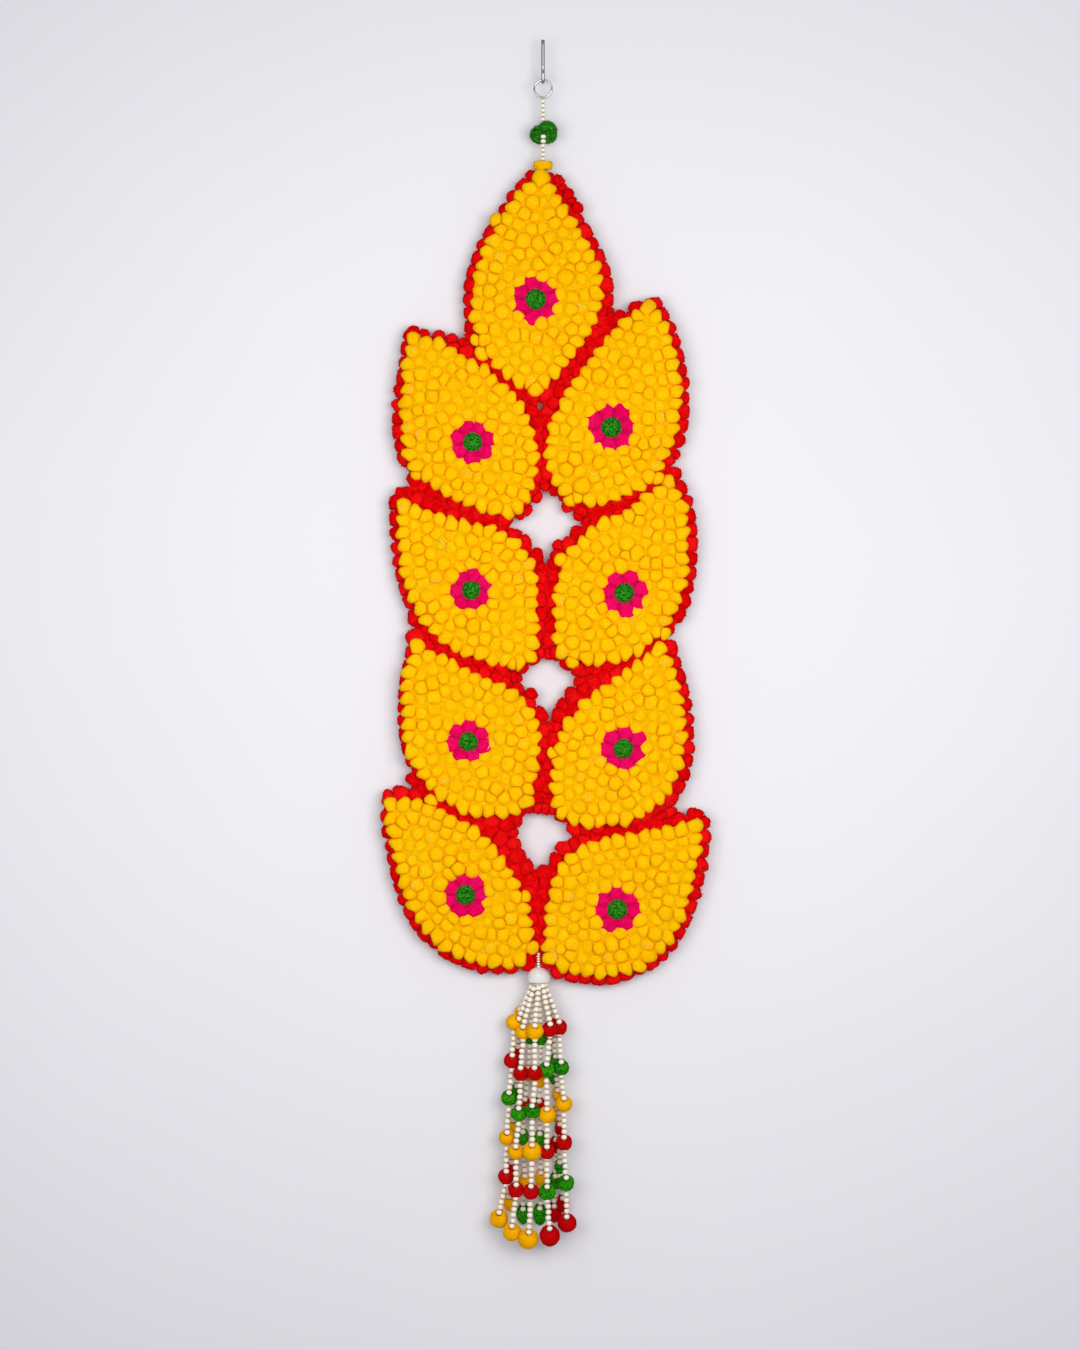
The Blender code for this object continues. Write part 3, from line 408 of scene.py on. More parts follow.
def add_piece(name, parts, material, nodes):
    """One mesh from several parts, riding on the hanging, which stands for nodes of the solids."""
    starts = np.cumsum([0] + [len(p.points) for p in parts[:-1]])
    points = np.vstack([p.points for p in parts]) * MM
    faces = np.vstack([p.faces + start for p, start in zip(parts, starts)])
    mesh = bpy.data.meshes.new(name)
    mesh.vertices.add(len(points))
    mesh.vertices.foreach_set("co", points.astype(np.float32).ravel())
    mesh.loops.add(faces.size)
    mesh.loops.foreach_set("vertex_index", faces.astype(np.int32).ravel())
    mesh.polygons.add(len(faces))
    mesh.polygons.foreach_set("loop_start", np.arange(0, faces.size, 3, dtype=np.int32))
    mesh.update(calc_edges=True)
    for key in ("tone", "seam"):
        values = np.concatenate([np.broadcast_to(getattr(p, key), len(p.points)) for p in parts])
        mesh.attributes.new(key, "FLOAT", "POINT").data.foreach_set("value", values.astype(np.float32))
    mesh.shade_smooth()
    mesh.materials.append(material)
    piece = bpy.data.objects.new(name, mesh)
    bpy.context.scene.collection.objects.link(piece)
    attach(piece, "root")
    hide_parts(*nodes)
    return piece


# Pompoms

Ball = namedtuple("Ball", "centre radius squeeze walls waves tone cup")


def swellings():
    """The low waves that make one pompom uneven: a way and a phase for each."""
    return np.column_stack((rng.normal(0.0, 2.2, (WAVES, 3)), rng.random(WAVES) * math.tau))


def pressed(centres, radii, squeeze, tones, fixed_walls=(), own_walls=None):
    """Pompoms at these places, each with a wall towards every neighbour it touches, and its own walls."""
    balls = []
    for index, (centre, radius, tone) in enumerate(zip(centres, radii, tones)):
        away = centres - centre
        far = np.linalg.norm(away, axis=1)
        near = (far > 0.5) & (far < radius + radii)
        shares = (far[near] ** 2 + radius ** 2 - radii[near] ** 2) / (2 * far[near])
        walls = np.column_stack((away[near] / far[near, None],
                                 shares.clip(far[near] * 0.36, far[near] * 0.64) - SEAM_GAP))
        own = own_walls[index] if own_walls else []
        walls = np.vstack([walls] + [np.reshape(w, (1, 4)) for w in (*fixed_walls, *own)])
        balls.append(Ball(centre, radius, np.array((1.0, squeeze, 1.0)), walls, swellings(), tone, None))
    return balls


def lone(centre, radius, squeeze, tone, walls=()):
    """A pompom that touches no other, with these flat sides."""
    return pressed(centre[None], np.array([radius]), squeeze, [tone], walls)[0]


def reach(ball, ways):
    """How far a pompom's surface lies from its middle along each way."""
    waves = np.sin(ways @ ball.waves[:, :3].T + ball.waves[:, 3]).sum(1)
    radius = ball.radius * (1.0 + WAVE_HEIGHT * waves)
    pushed = ((ways * ball.squeeze) @ ball.walls[:, :3].T).clip(0.0) / ball.walls[:, 3]
    far = (radius ** -PRESS + (pushed ** PRESS).sum(1)) ** (-1.0 / PRESS)
    if ball.cup is not None:
        # A bead sunk in the pile leaves a round hollow
        towards = ways @ ball.cup[:3]
        under = towards ** 2 - ball.cup[:3] @ ball.cup[:3] + ball.cup[3] ** 2
        meets = towards - np.sqrt(under.clip(0.0))
        far = np.where((under > 0.0) & (towards > 0.0), np.minimum(far, meets.clip(1.0)), far)
    return far


def pile_surface(ball, level, uneven=CUT_UNEVEN):
    """A pompom's trimmed surface. Its painted seam shade grows where it is pressed in."""
    ways, faces = BALLS[level]
    far = reach(ball, ways)
    seam = ((0.985 - far / ball.radius) / 0.14).clip(0.0, 1.0)
    far = far + rng.normal(0.0, uneven, len(ways)).clip(-2 * uneven, 2 * uneven)
    points = ball.centre + ways * ball.squeeze * far[:, None]
    return Part(points, faces, ball.tone, seam)


def yarn_ends(ball, count, length, width, lean, keep=None):
    """Single yarn ends that stand out of a pompom, each a thin spike with its foot inside."""
    ways = rng.normal(0.0, 1.0, (count, 3))
    ways /= np.linalg.norm(ways, axis=1, keepdims=True)
    if keep is not None:
        ways = ways[keep(ways)]
    far = reach(ball, ways)
    foot = ball.centre + ways * ball.squeeze * (far - 0.35)[:, None]
    rise = ways + rng.normal(0.0, lean, ways.shape)
    rise /= np.linalg.norm(rise, axis=1, keepdims=True)
    side = np.cross(rise, rng.normal(0.0, 1.0, ways.shape))
    side *= width / 2 / np.linalg.norm(side, axis=1, keepdims=True)
    other = np.cross(rise, side)
    tall = (0.35 + length * rng.uniform(0.5, 1.0, len(ways)))[:, None]
    corners = [foot + side, foot - side * 0.5 + other * 0.87, foot - side * 0.5 - other * 0.87,
               foot + rise * tall]
    points = np.stack(corners, 1).reshape(-1, 3)
    start = np.arange(len(ways))[:, None, None] * 4
    faces = (start + np.array([[0, 2, 1], [0, 1, 3], [1, 2, 3], [2, 0, 3]])[None]).reshape(-1, 3)
    tone = np.repeat(ball.tone + rng.normal(0.05, 0.3, len(ways)), 4)
    return Part(points, faces, tone, 0.0)


def tones(count, spread=0.16):
    """A tone for each pompom, about the middle of its yarn's two colours."""
    return rng.normal(0.5, spread, count).clip(0.05, 0.95)


def lumps_of(name, limit):
    """The crowns of a solid's lumps: its points that rise past a depth, in millimetres."""
    points = np.array([v.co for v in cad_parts[name].data.vertices]) / MM
    return np.unique(np.round(points[points[:, 1] < limit], 2), axis=0)


# Outlines

def rim_of(name, side="front"):
    """The rim of a solid's flat side as a counter-clockwise loop of (x, z) points, in millimetres."""
    built = bmesh.new()
    built.from_mesh(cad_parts[name].data)
    bmesh.ops.remove_doubles(built, verts=built.verts, dist=1e-6)
    depths = [v.co.y for v in built.verts]
    level = min(depths) if side == "front" else max(depths)
    after = {}
    for edge in built.edges:
        flat = [abs(f.normal.y) > 0.99 for f in edge.link_faces]
        if len(flat) == 2 and flat[0] != flat[1] and all(abs(v.co.y - level) < 1e-5 for v in edge.verts):
            a, b = edge.verts
            after.setdefault(a.index, []).append(b.index)
            after.setdefault(b.index, []).append(a.index)
    places = {v.index: (v.co.x / MM, v.co.z / MM) for v in built.verts}
    built.free()
    start = min(after)
    loop = [start]
    previous, here = None, start
    while True:
        onward = [k for k in after[here] if k != previous]
        previous, here = here, onward[0]
        if here == start:
            break
        loop.append(here)
    curve = np.array([places[k] for k in loop])
    ahead = np.roll(curve, -1, 0)
    area = (curve[:, 0] * ahead[:, 1] - ahead[:, 0] * curve[:, 1]).sum() / 2
    return curve if area > 0.0 else curve[::-1]


def inside(points, outline):
    """Which points lie inside a closed outline."""
    x, z = points[:, 0:1], points[:, 1:2]
    near, far = outline, np.roll(outline, -1, 0)
    crosses = (near[:, 1] > z) != (far[:, 1] > z)
    rise = np.where(far[:, 1] == near[:, 1], 1.0, far[:, 1] - near[:, 1])
    side = near[:, 0] + (z - near[:, 1]) * (far[:, 0] - near[:, 0]) / rise
    return (crosses & (x < side)).sum(1) % 2 == 1


def nearest(points, others):
    """The distance from each point to the nearest of the others."""
    return np.sqrt(((points[:, None] - others[None]) ** 2).sum(-1).min(1))


def dense(curve, step):
    """Points at an even step along a closed curve."""
    closed = np.vstack((curve, curve[:1]))
    run = np.concatenate(([0.0], np.cumsum(np.linalg.norm(np.diff(closed, axis=0), axis=1))))
    at = np.arange(0.0, run[-1], step)
    return np.column_stack([np.interp(at, run, closed[:, k]) for k in (0, 1)])


def grid_over(outline, step):
    """Points at an even step both ways over the box of an outline."""
    low, high = outline.min(0), outline.max(0)
    return np.array([(x, z) for x in np.arange(low[0], high[0], step)
                     for z in np.arange(low[1], high[1], step)])


def rim_walls(flat, rim, spare, others=None):
    """For each pompom, the wall that keeps it inside the rim, wherever the rim is free of other leaves."""
    outline = dense(rim, 0.5)
    if others is not None:
        outline = outline[nearest(outline, others) > MEETING]
    gaps = outline[None] - flat[:, None]
    dist = np.linalg.norm(gaps, axis=2)
    walls = []
    for index, near in enumerate(dist.argmin(1)):
        way = gaps[index, near] / dist[index, near]
        walls.append([(way[0], 0.0, way[1], max(dist[index, near], 5.0) + spare)])
    return walls


def border_places(rim, field_rim):
    """A leaf's red pompoms, their places and sizes: one in each scallop of its rim, then more to fill it."""
    ahead = np.roll(rim, -1, 0)
    edge = ahead - rim
    length = np.linalg.norm(edge, axis=1)
    inward = np.column_stack((-edge[:, 1], edge[:, 0])) / length[:, None]
    scallop = (length > SCALLOP_EDGE[0]) & (length < SCALLOP_EDGE[1])
    inset = np.where(scallop, FREE_INSET, MEETING_INSET)
    spots = ((rim + ahead) / 2 + inward * inset[:, None])[scallop | (length > PLAIN_EDGE)]
    places = []
    for spot in spots:
        if not places or np.linalg.norm(np.array(places) - spot, axis=1).min() > RED_CLOSEST * 0.85:
            places.append(spot)
    sizes = list(rng.normal(*RED_RADIUS, len(places)))
    grid = grid_over(rim, FILL_STEP)
    outline = dense(rim, 2.0)
    room = np.where(inside(grid, rim), nearest(grid, outline), 0.0)
    hidden = inside(grid, field_rim) & (nearest(grid, dense(field_rim, 2.0)) > RED_UNDER_YELLOW)
    kept = (room > 3.4) & ~hidden
    grid, room = grid[kept], room[kept]
    # The roomiest bare spot gets the next pompom, as large as fits there, until none is bare
    fits = (room + 1.5).clip(4.5, RED_RADIUS[0])
    while True:
        clear = (np.linalg.norm(grid[:, None] - np.array(places)[None], axis=2) / np.array(sizes)).min(1)
        bare = clear > 1.12
        if not bare.any():
            return np.array(places), np.array(sizes)
        best = np.where(bare, fits + clear, 0.0).argmax()
        places.append(grid[best])
        sizes.append(fits[best])


def round_outline(radius, count):
    """The points of a circle about the origin."""
    angles = np.arange(count) * math.tau / count
    return np.column_stack((np.cos(angles), np.sin(angles))) * radius


# Leaves

def inner_mesh(edge, step, clear=0.7):
    """Triangles that fill an outline, with inner points at an even step."""
    grid = grid_over(edge, step)
    grid = grid[inside(grid, edge) & (nearest(grid, edge) > step * clear)]
    flat = [Vector(p) for p in np.vstack((edge, grid))]
    edges = [(k, (k + 1) % len(edge)) for k in range(len(edge))]
    corners, _, triangles = geometry.delaunay_2d_cdt(flat, edges, [], 1, 1e-4)[:3]
    return np.array(corners), np.array([(a, b, c) for a, b, c in triangles])


def inset(rim, step, depth):
    """A smooth outline at a depth inside the rim."""
    curve = dense(rim, step)
    smooth = sum(np.roll(curve, k, 0) for k in range(-3, 4)) / 7
    ahead = np.roll(smooth, -2, 0) - np.roll(smooth, 2, 0)
    inward = np.column_stack((-ahead[:, 1], ahead[:, 0])) / np.linalg.norm(ahead, axis=1, keepdims=True)
    edge = smooth + inward * depth
    return edge[(nearest(edge, smooth) > depth * 0.92) & inside(edge, smooth)]


def pile_bed(rim, crowns, flower):
    """The yarn ends that mat together between the pompoms, a little below their crowns."""
    places, faces = inner_mesh(inset(rim, 3.0, BED_INSET), 3.0)
    away = ((places[:, None] - crowns[None][:, :, [0, 2]]) ** 2).sum(2)
    weight = np.exp(-away / 60.0) + 1e-9
    depth = (weight * crowns[:, 1]).sum(1) / weight.sum(1) + BED_DEPTH
    depth += np.interp(nearest(places, dense(rim, 1.0)), (BED_INSET, BED_INSET + 4.0), (1.8, 0.0))
    from_flower = np.linalg.norm(places - flower, axis=1)
    depth = np.where(from_flower < FLOWER_RADIUS[1], -6.0, depth)
    depth = depth + rng.normal(0.0, 0.25, len(places))
    points = np.column_stack((places[:, 0], depth, places[:, 1]))
    # The bed is drawn at a lower tone and with half the seams' painted shade
    return Part(points, faces, 0.4, 0.5)


def red_bed(rim):
    """The yarn ends that mat together between a border's pompoms."""
    places, faces = inner_mesh(inset(rim, 3.0, RED_BED[0]), 5.0)
    points = np.column_stack((places[:, 0], RED_BED[1] + rng.normal(0.0, 0.5, len(places)), places[:, 1]))
    # The bed carries the seams' painted shade at 0.4
    return Part(points, faces, rng.uniform(0.1, 0.7, len(points)), 0.4)


def seam_yarn(rim, other):
    """The yarn ends that mat together along the line where two leaves' borders meet."""
    curve, across = dense(rim, 2.5), dense(other, 0.5)
    gaps = np.linalg.norm(curve[:, None] - across[None], axis=2)
    meets = gaps.min(1) < MEETING
    if not meets.any() or meets.all():
        return []
    first = int(np.flatnonzero(~meets)[0])
    meets = np.roll(meets, -first)
    line = np.roll((curve + across[gaps.argmin(1)]) / 2, -first, 0)
    strands = []
    for run in np.split(np.arange(len(line)), np.flatnonzero(np.diff(meets.astype(int))) + 1):
        if meets[run[0]] and len(run) > 3:
            depth = rng.normal(2.6, 0.5, len(run))
            places = np.column_stack((line[run, 0], depth, line[run, 1]))
            strand = tube(places, rng.normal(4.3, 0.5, len(run)), 10)
            # The strands carry part of the seams' painted shade
            strands.append(strand._replace(tone=rng.uniform(0.1, 0.7, len(strand.points)), seam=0.35))
    return strands


def loose_yarn(crowns, count):
    """A few loose yarn ends that lie curled on the pompoms."""
    ends = []
    for crown in crowns[rng.choice(len(crowns), count, replace=False)]:
        angle = rng.uniform(0.0, math.tau)
        along = np.array((math.cos(angle), 0.0, math.sin(angle)))
        across = np.array((-along[2], 0.0, along[0]))
        length, curl = rng.uniform(7.0, 14.0), rng.normal(0.0, 2.4)
        share = np.linspace(0.0, 1.0, 8)[:, None]
        line = (crown + along * (share - 0.5) * length + across * curl * np.sin(share * 2.6)
                - np.array((0.0, 1.0, 0.0)) * (0.2 + 0.9 * np.sin(share * math.pi)))
        ends.append(tube(line, np.linspace(0.36, 0.2, 8), 4))
    return ends


def flower_of(leaf):
    """A flower's middle, the flat places of its petals' crowns and its size."""
    low, high = (np.array(corner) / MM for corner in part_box(f"leaf_{leaf}_centre"))
    middle = (low + high)[[0, 2]] / 2
    x, z, scale = FLOWER_FIT[leaf]
    petals = (lumps_of(f"leaf_{leaf}_flower", PETAL_CROWN_LIMIT)[:, [0, 2]] - middle) * scale
    return middle + (x, z), petals, scale


def add_fields(material, loose):
    """Each leaf's field of yellow pompoms."""
    for leaf in LEAVES:
        crowns = lumps_of(f"leaf_{leaf}_field", FIELD_CROWN_LIMIT)
        radii = rng.normal(*YELLOW_RADIUS, len(crowns))
        centres = crowns + rng.normal(0.0, YELLOW_SHIFT, crowns.shape)
        centres[:, 1] += radii * YELLOW_SQUEEZE
        rim = rim_of(f"leaf_{leaf}_field", "back")
        walls = rim_walls(centres[:, [0, 2]], rim, YELLOW_AT_RIM[0])
        radii = np.minimum(radii, [w[0][3] + YELLOW_AT_RIM[1] for w in walls])
        if leaf == "top":
            # The pompom at the tip stands up against the flat-topped one
            tip = crowns[:, 2].argmax()
            centres[tip], radii[tip], walls[tip] = TIP_PLACE, TIP_RADIUS, []
        flower, petals, scale = flower_of(leaf)
        petals /= np.linalg.norm(petals, axis=1, keepdims=True)
        for index, centre in enumerate(centres):
            towards = flower - centre[[0, 2]]
            far = np.linalg.norm(towards)
            if far < 32.0:
                facing = math.acos(min(1.0, (petals @ -towards).max() / far)) / (math.pi / len(petals))
                stop = np.interp(facing, (0.0, 1.0), FLOWER_RADIUS[::-1]) * scale
                room = max(far - stop, 4.6)
                walls[index].append((towards[0] / far, 0.0, towards[1] / far, room))
                radii[index] = min(radii[index], room + 3.0)
        for x, z, radius in EXTRA_YELLOW.get(leaf, ()):
            centres = np.vstack((centres, (x, YELLOW_FRONT + radius * YELLOW_SQUEEZE, z)))
            radii = np.append(radii, radius)
            walls.append([])
        balls = pressed(centres, radii, YELLOW_SQUEEZE, tones(len(centres)), own_walls=walls)
        if leaf == "top":
            balls[tip] = balls[tip]._replace(squeeze=np.array(TIP_SQUEEZE))
        parts = []
        for ball in balls:
            parts.append(pile_surface(ball, 3))
            parts.append(yarn_ends(ball, *YARN_ENDS["yellow"], keep=lambda ways: ways[:, 1] < 0.1))
        parts.append(pile_bed(rim, crowns, flower))
        add_piece(f"leaf_{leaf}_yellow_pompoms", parts, material, [f"leaf_{leaf}_field"])
        add_piece(f"leaf_{leaf}_loose_yarn", loose_yarn(crowns, 5), loose,
                  [f"leaf_{leaf}_field"])


def add_borders(material):
    """Each leaf's border of red pompoms, sewn round the rim of its base under the yellow ones."""
    centres, radii, walls, owner = [], [], [], []
    rims = [rim_of(f"leaf_{leaf}_ground") for leaf in LEAVES]
    for index, leaf in enumerate(LEAVES):
        others = np.vstack([dense(rim, 1.0) for k, rim in enumerate(rims) if k != index])
        flat, sizes = border_places(rims[index], rim_of(f"leaf_{leaf}_field", "back"))
        for x, z, far in BARE_CORNERS.get(leaf, ()):
            kept = np.linalg.norm(flat - (x, z), axis=1) > far
            flat, sizes = flat[kept], sizes[kept]
        flat = flat + rng.normal(0.0, 0.8, flat.shape)
        centres.append(np.column_stack((flat[:, 0], rng.normal(RED_DEPTH, 0.8, len(flat)), flat[:, 1])))
        limits = rim_walls(flat, rims[index], RED_AT_RIM[0], others)
        radii.append(np.minimum(sizes, [w[0][3] + RED_AT_RIM[1] for w in limits]))
        walls += limits
        extra = np.array(EXTRA_RED.get(leaf, ())).reshape(-1, 3)
        centres.append(np.column_stack((extra[:, 0], np.full(len(extra), RED_DEPTH + 0.5), extra[:, 1])))
        radii.append(extra[:, 2])
        walls += [[] for _ in extra]
        owner += [index] * (len(flat) + len(extra))
    centres, radii = np.vstack(centres), np.concatenate(radii)
    backing = (0.0, 1.0, 0.0, RED_BACK)
    balls = pressed(centres, radii, RED_SQUEEZE, tones(len(centres), 0.3), [backing], walls)
    for index, leaf in enumerate(LEAVES):
        parts = []
        for ball, mine in zip(balls, owner):
            if mine == index:
                parts.append(pile_surface(ball, 3, 0.42))
                parts.append(yarn_ends(ball, *YARN_ENDS["red"], keep=lambda ways: ways[:, 1] < 0.1))
        parts.append(red_bed(rims[index]))
        for other in range(index + 1, len(LEAVES)):
            parts += seam_yarn(rims[index], rims[other])
        add_piece(f"leaf_{leaf}_red_pompoms", parts, material, [f"leaf_{leaf}_ground"])


def add_flowers(pink, green):
    """Each leaf's flower: flat pink pompoms between the yellow ones, and a green one in the middle."""
    for leaf in LEAVES:
        middle, petals, scale = flower_of(leaf)
        petals = petals + rng.normal(0.0, 0.9, petals.shape)
        radii = rng.normal(PETAL_RADIUS * scale, 0.4, len(petals))
        crown = lumps_of(f"leaf_{leaf}_flower", PETAL_CROWN_LIMIT)[0, 1] - PETAL_RISE
        depths = crown + radii * PETAL_SQUEEZE
        centres = np.column_stack((middle[0] + petals[:, 0], depths, middle[1] + petals[:, 1]))
        balls = pressed(centres, radii, PETAL_SQUEEZE, tones(len(petals)))
        parts = [pile_surface(ball, 3) for ball in balls]
        places, faces = inner_mesh(middle + round_outline(FLOWER_BED * scale, 36), 3.0)
        bed = np.column_stack((places[:, 0], crown + rng.normal(1.1, 0.15, len(places)), places[:, 1]))
        # The bed under the petals is drawn at a low tone and with half the seams' painted shade
        parts.append(Part(bed, faces, 0.3, 0.5))
        add_piece(f"leaf_{leaf}_pink_pompoms", parts, pink, [f"leaf_{leaf}_flower"])
        low, high = (np.array(corner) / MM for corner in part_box(f"leaf_{leaf}_centre"))
        centre = np.array((middle[0], (low[1] + high[1]) / 2 - 0.4, middle[1]))
        ball = lone(centre, CENTRE_RADIUS * scale ** 0.5, CENTRE_SQUEEZE, 0.5, [(0.0, 1.0, 0.0, 3.6)])
        parts = [pile_surface(ball, 4, 0.45),
                 yarn_ends(ball, *YARN_ENDS["flower"], keep=lambda ways: ways[:, 1] < 0.2)]
        add_piece(f"leaf_{leaf}_green_pompom", parts, green, [f"leaf_{leaf}_centre"])


def stitches(rim):
    """Running stitches on the back, which hold the border to the felt."""
    line = dense(inset(rim, 3.0, STITCH_INSET), 1.0)
    made = []
    for start in np.arange(0, len(line) - STITCH_RUN[0], STITCH_RUN[0]):
        run = line[start:start + STITCH_RUN[1] + rng.integers(0, 2)] + rng.normal(0.0, 0.35, 2)
        share = np.linspace(0.0, 1.0, len(run))
        depth = STITCH_DEPTH + STITCH_RISE * np.sin(share * math.pi) ** 0.5
        made.append(tube(np.column_stack((run[:, 0], depth, run[:, 1])), STITCH_RADIUS, 4))
    return made


def add_bases(material, thread):
    """Each leaf's base: felt cut to the leaf's outline, a little inside its red border."""
    for leaf in LEAVES:
        rim = rim_of(f"leaf_{leaf}_ground")
        places, faces = inner_mesh(inset(rim, 3.0, FELT_INSET), 9.0, 0.45)
        wavy = 0.35 * np.sin(places[:, 0] / 23.0) * np.sin(places[:, 1] / 31.0)
        points = np.column_stack((places[:, 0], FELT_DEPTH + wavy, places[:, 1]))
        part = Part(points, faces, 0.5, 0.0)
        piece = add_piece(f"leaf_{leaf}_felt_base", [part], material, [f"leaf_{leaf}_ground"])
        thick = piece.modifiers.new("felt thickness", "SOLIDIFY")
        thick.thickness = FELT_THICK * MM
        thick.offset = 0.0
        sewn = add_piece(f"leaf_{leaf}_stitches", stitches(rim), thread,
                         [f"leaf_{leaf}_ground"])


# Hanger and tassel

def tube(line, radius, sides):
    """A round tube along a line of points, with flat ends."""
    line = np.asarray(line, float)
    radii = np.broadcast_to(radius, len(line))
    way = np.gradient(line, axis=0)
    way /= np.linalg.norm(way, axis=1, keepdims=True)
    up = np.array((0.0, 1.0, 0.0)) if abs(way[0, 1]) < 0.9 else np.array((1.0, 0.0, 0.0))
    frames = []
    for w in way:
        up = up - w * (up @ w)
        up /= np.linalg.norm(up)
        frames.append((up, np.cross(w, up)))
    angles = np.arange(sides) * math.tau / sides
    rings = [p + r * (np.cos(angles)[:, None] * u + np.sin(angles)[:, None] * v)
             for p, r, (u, v) in zip(line, radii, frames)]
    points = np.vstack(rings)
    faces = []
    last = len(points) - sides
    for a in range(0, last, sides):
        b = a + sides
        for s in range(sides):
            t = (s + 1) % sides
            faces += [(a + s, a + t, b + t), (a + s, b + t, b + s)]
    for s in range(1, sides - 1):
        faces += [(0, s + 1, s), (last, last + s, last + s + 1)]
    return Part(points, np.array(faces), 0.5, 0.0)


def bead(centre, way, radius, half_height):
    """A bead on its thread: a ball, a little flat along the way that the thread runs."""
    ways, faces = BALLS[3]
    way = np.asarray(way, float) / np.linalg.norm(way)
    share = ways @ way
    along = share[:, None] * way
    points = centre + (ways - along) * radius + along * half_height
    # Painted shade at the ends round the thread holes, where the beads meet
    painted_waist_shade = 0.8 * ((np.abs(share) - 0.62) / 0.3).clip(0.0, 1.0)
    return Part(points, faces, rng.uniform(0.3, 0.7), painted_waist_shade)


def add_hook_and_ring(wire, plated):
    """The wire hook, and the split ring that hangs in it."""
    low, high = (np.array(corner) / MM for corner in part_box("hook"))
    bend, radius = HOOK_BEND, HOOK_WIRE
    bend_z = low[2] + radius + bend
    line = [(0.0, 0.0, z) for z in np.linspace(high[2], bend_z + 13.0, 6)]
    line += [(0.0, bend * (0.5 - 0.5 * math.cos(s * math.pi)), bend_z + 12.0 - 9.0 * s)
             for s in np.linspace(0.0, 1.0, 9)]
    line += [(0.0, bend * math.cos(a), bend_z - bend * math.sin(a)) for a in np.linspace(0.0, math.pi, 19)]
    line += [(0.0, -bend - 0.12 * z, bend_z + z) for z in (1.5, 3.0, 4.4, 5.4, 5.9, 6.1)]
    swell = np.full(len(line), radius)
    swell[-3:] = radius * np.array(HOOK_POINT)
    add_piece("wire_hook", [tube(line, swell, 16)], wire, ["hook"])
    low, high = (np.array(corner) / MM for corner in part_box("ring"))
    middle = (low + high) / 2
    ring_radius = (high[0] - low[0]) / 2 - RING_INSIDE
    turns = np.linspace(*RING_TURNS, 150) * math.tau
    share = (turns - turns[0]) / (turns[-1] - turns[0])
    line = [(middle[0] + ring_radius * math.sin(t), RING_WIDE * (s - 0.5),
             middle[2] + ring_radius * math.cos(t)) for t, s in zip(turns, share)]
    add_piece("split_ring", [tube(line, RING_WIRE, 12)], plated, ["ring"])


def pearl_run(name, spacing, radius, material, node_name, first=()):
    """A straight string of pearls between the ends of its solid, and more of them where it starts."""
    low, high = (np.array(corner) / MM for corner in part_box(node_name))
    x = (low[0] + high[0]) / 2
    count = round((high[2] - low[2]) / spacing)
    pitch = (high[2] - low[2]) / count
    parts = [bead((x + rng.normal(0.0, 0.12), 0.0, high[2] - (k + 0.5) * pitch), (0.0, 0.0, 1.0),
                  radius, pitch / 2) for k in range(count)]
    parts += [bead((x + across, deep, high[2] + up + pitch / 2), (0.0, 0.0, 1.0), radius, pitch / 2)
              for across, deep, up in first]
    add_piece(name, parts, material, [node_name])


def hung_strings():
    """Each string's stations, its root first and then its pompoms, pushed clear of the other strings."""
    stations = []
    weights = []
    need = []
    owner = []
    per_string = len(STRINGS[0].colours) + 1
    for number, s in enumerate(STRINGS):
        angle = math.radians(s.angle)
        stations.append((AXIS_X + s.root * math.sin(angle), -s.root * math.cos(angle), HEAD_BOTTOM))
        for k in range(per_string - 1):
            share = k / (per_string - 2)
            stations.append((s.x_top + (s.x_end - s.x_top) * share, s.y_top + (s.y_end - s.y_top) * share,
                             s.first - k * s.pitch))
        for k in range(per_string - 1):
            size = s.radius * (END_SWELL if k == per_string - 2 else 1.0)
            spots = [(share, STRAND_RADIUS) for share in np.arange(0.0 if k else 0.35, 1.01, 0.15)]
            for share, radius in spots + [(1.0, size)]:
                row = np.zeros(len(STRINGS) * per_string)
                row[number * per_string + k] = 1.0 - share
                row[number * per_string + k + 1] = share
                weights.append(row)
                need.append(radius)
                owner.append(number)
    stations, weights, need, owner = (np.array(v) for v in (stations, weights, need, owner))
    other = owner[:, None] != owner[None]
    apart = need[:, None] + need[None] + STRING_GAP
    roots = np.arange(len(stations)) % per_string == 0
    for _ in range(300):
        spots = weights @ stations
        gap = spots[:, None] - spots[None]
        dist = np.linalg.norm(gap, axis=2) + 1e-6
        short = np.where(other, (apart - dist).clip(0.0), 0.0)
        push = ((0.2 * short / dist)[..., None] * gap).sum(1)
        move = weights.T @ push * PUSH_SHARES
        move[roots] = 0.0
        stations = stations + move
    return stations.reshape(len(STRINGS), per_string, 3)


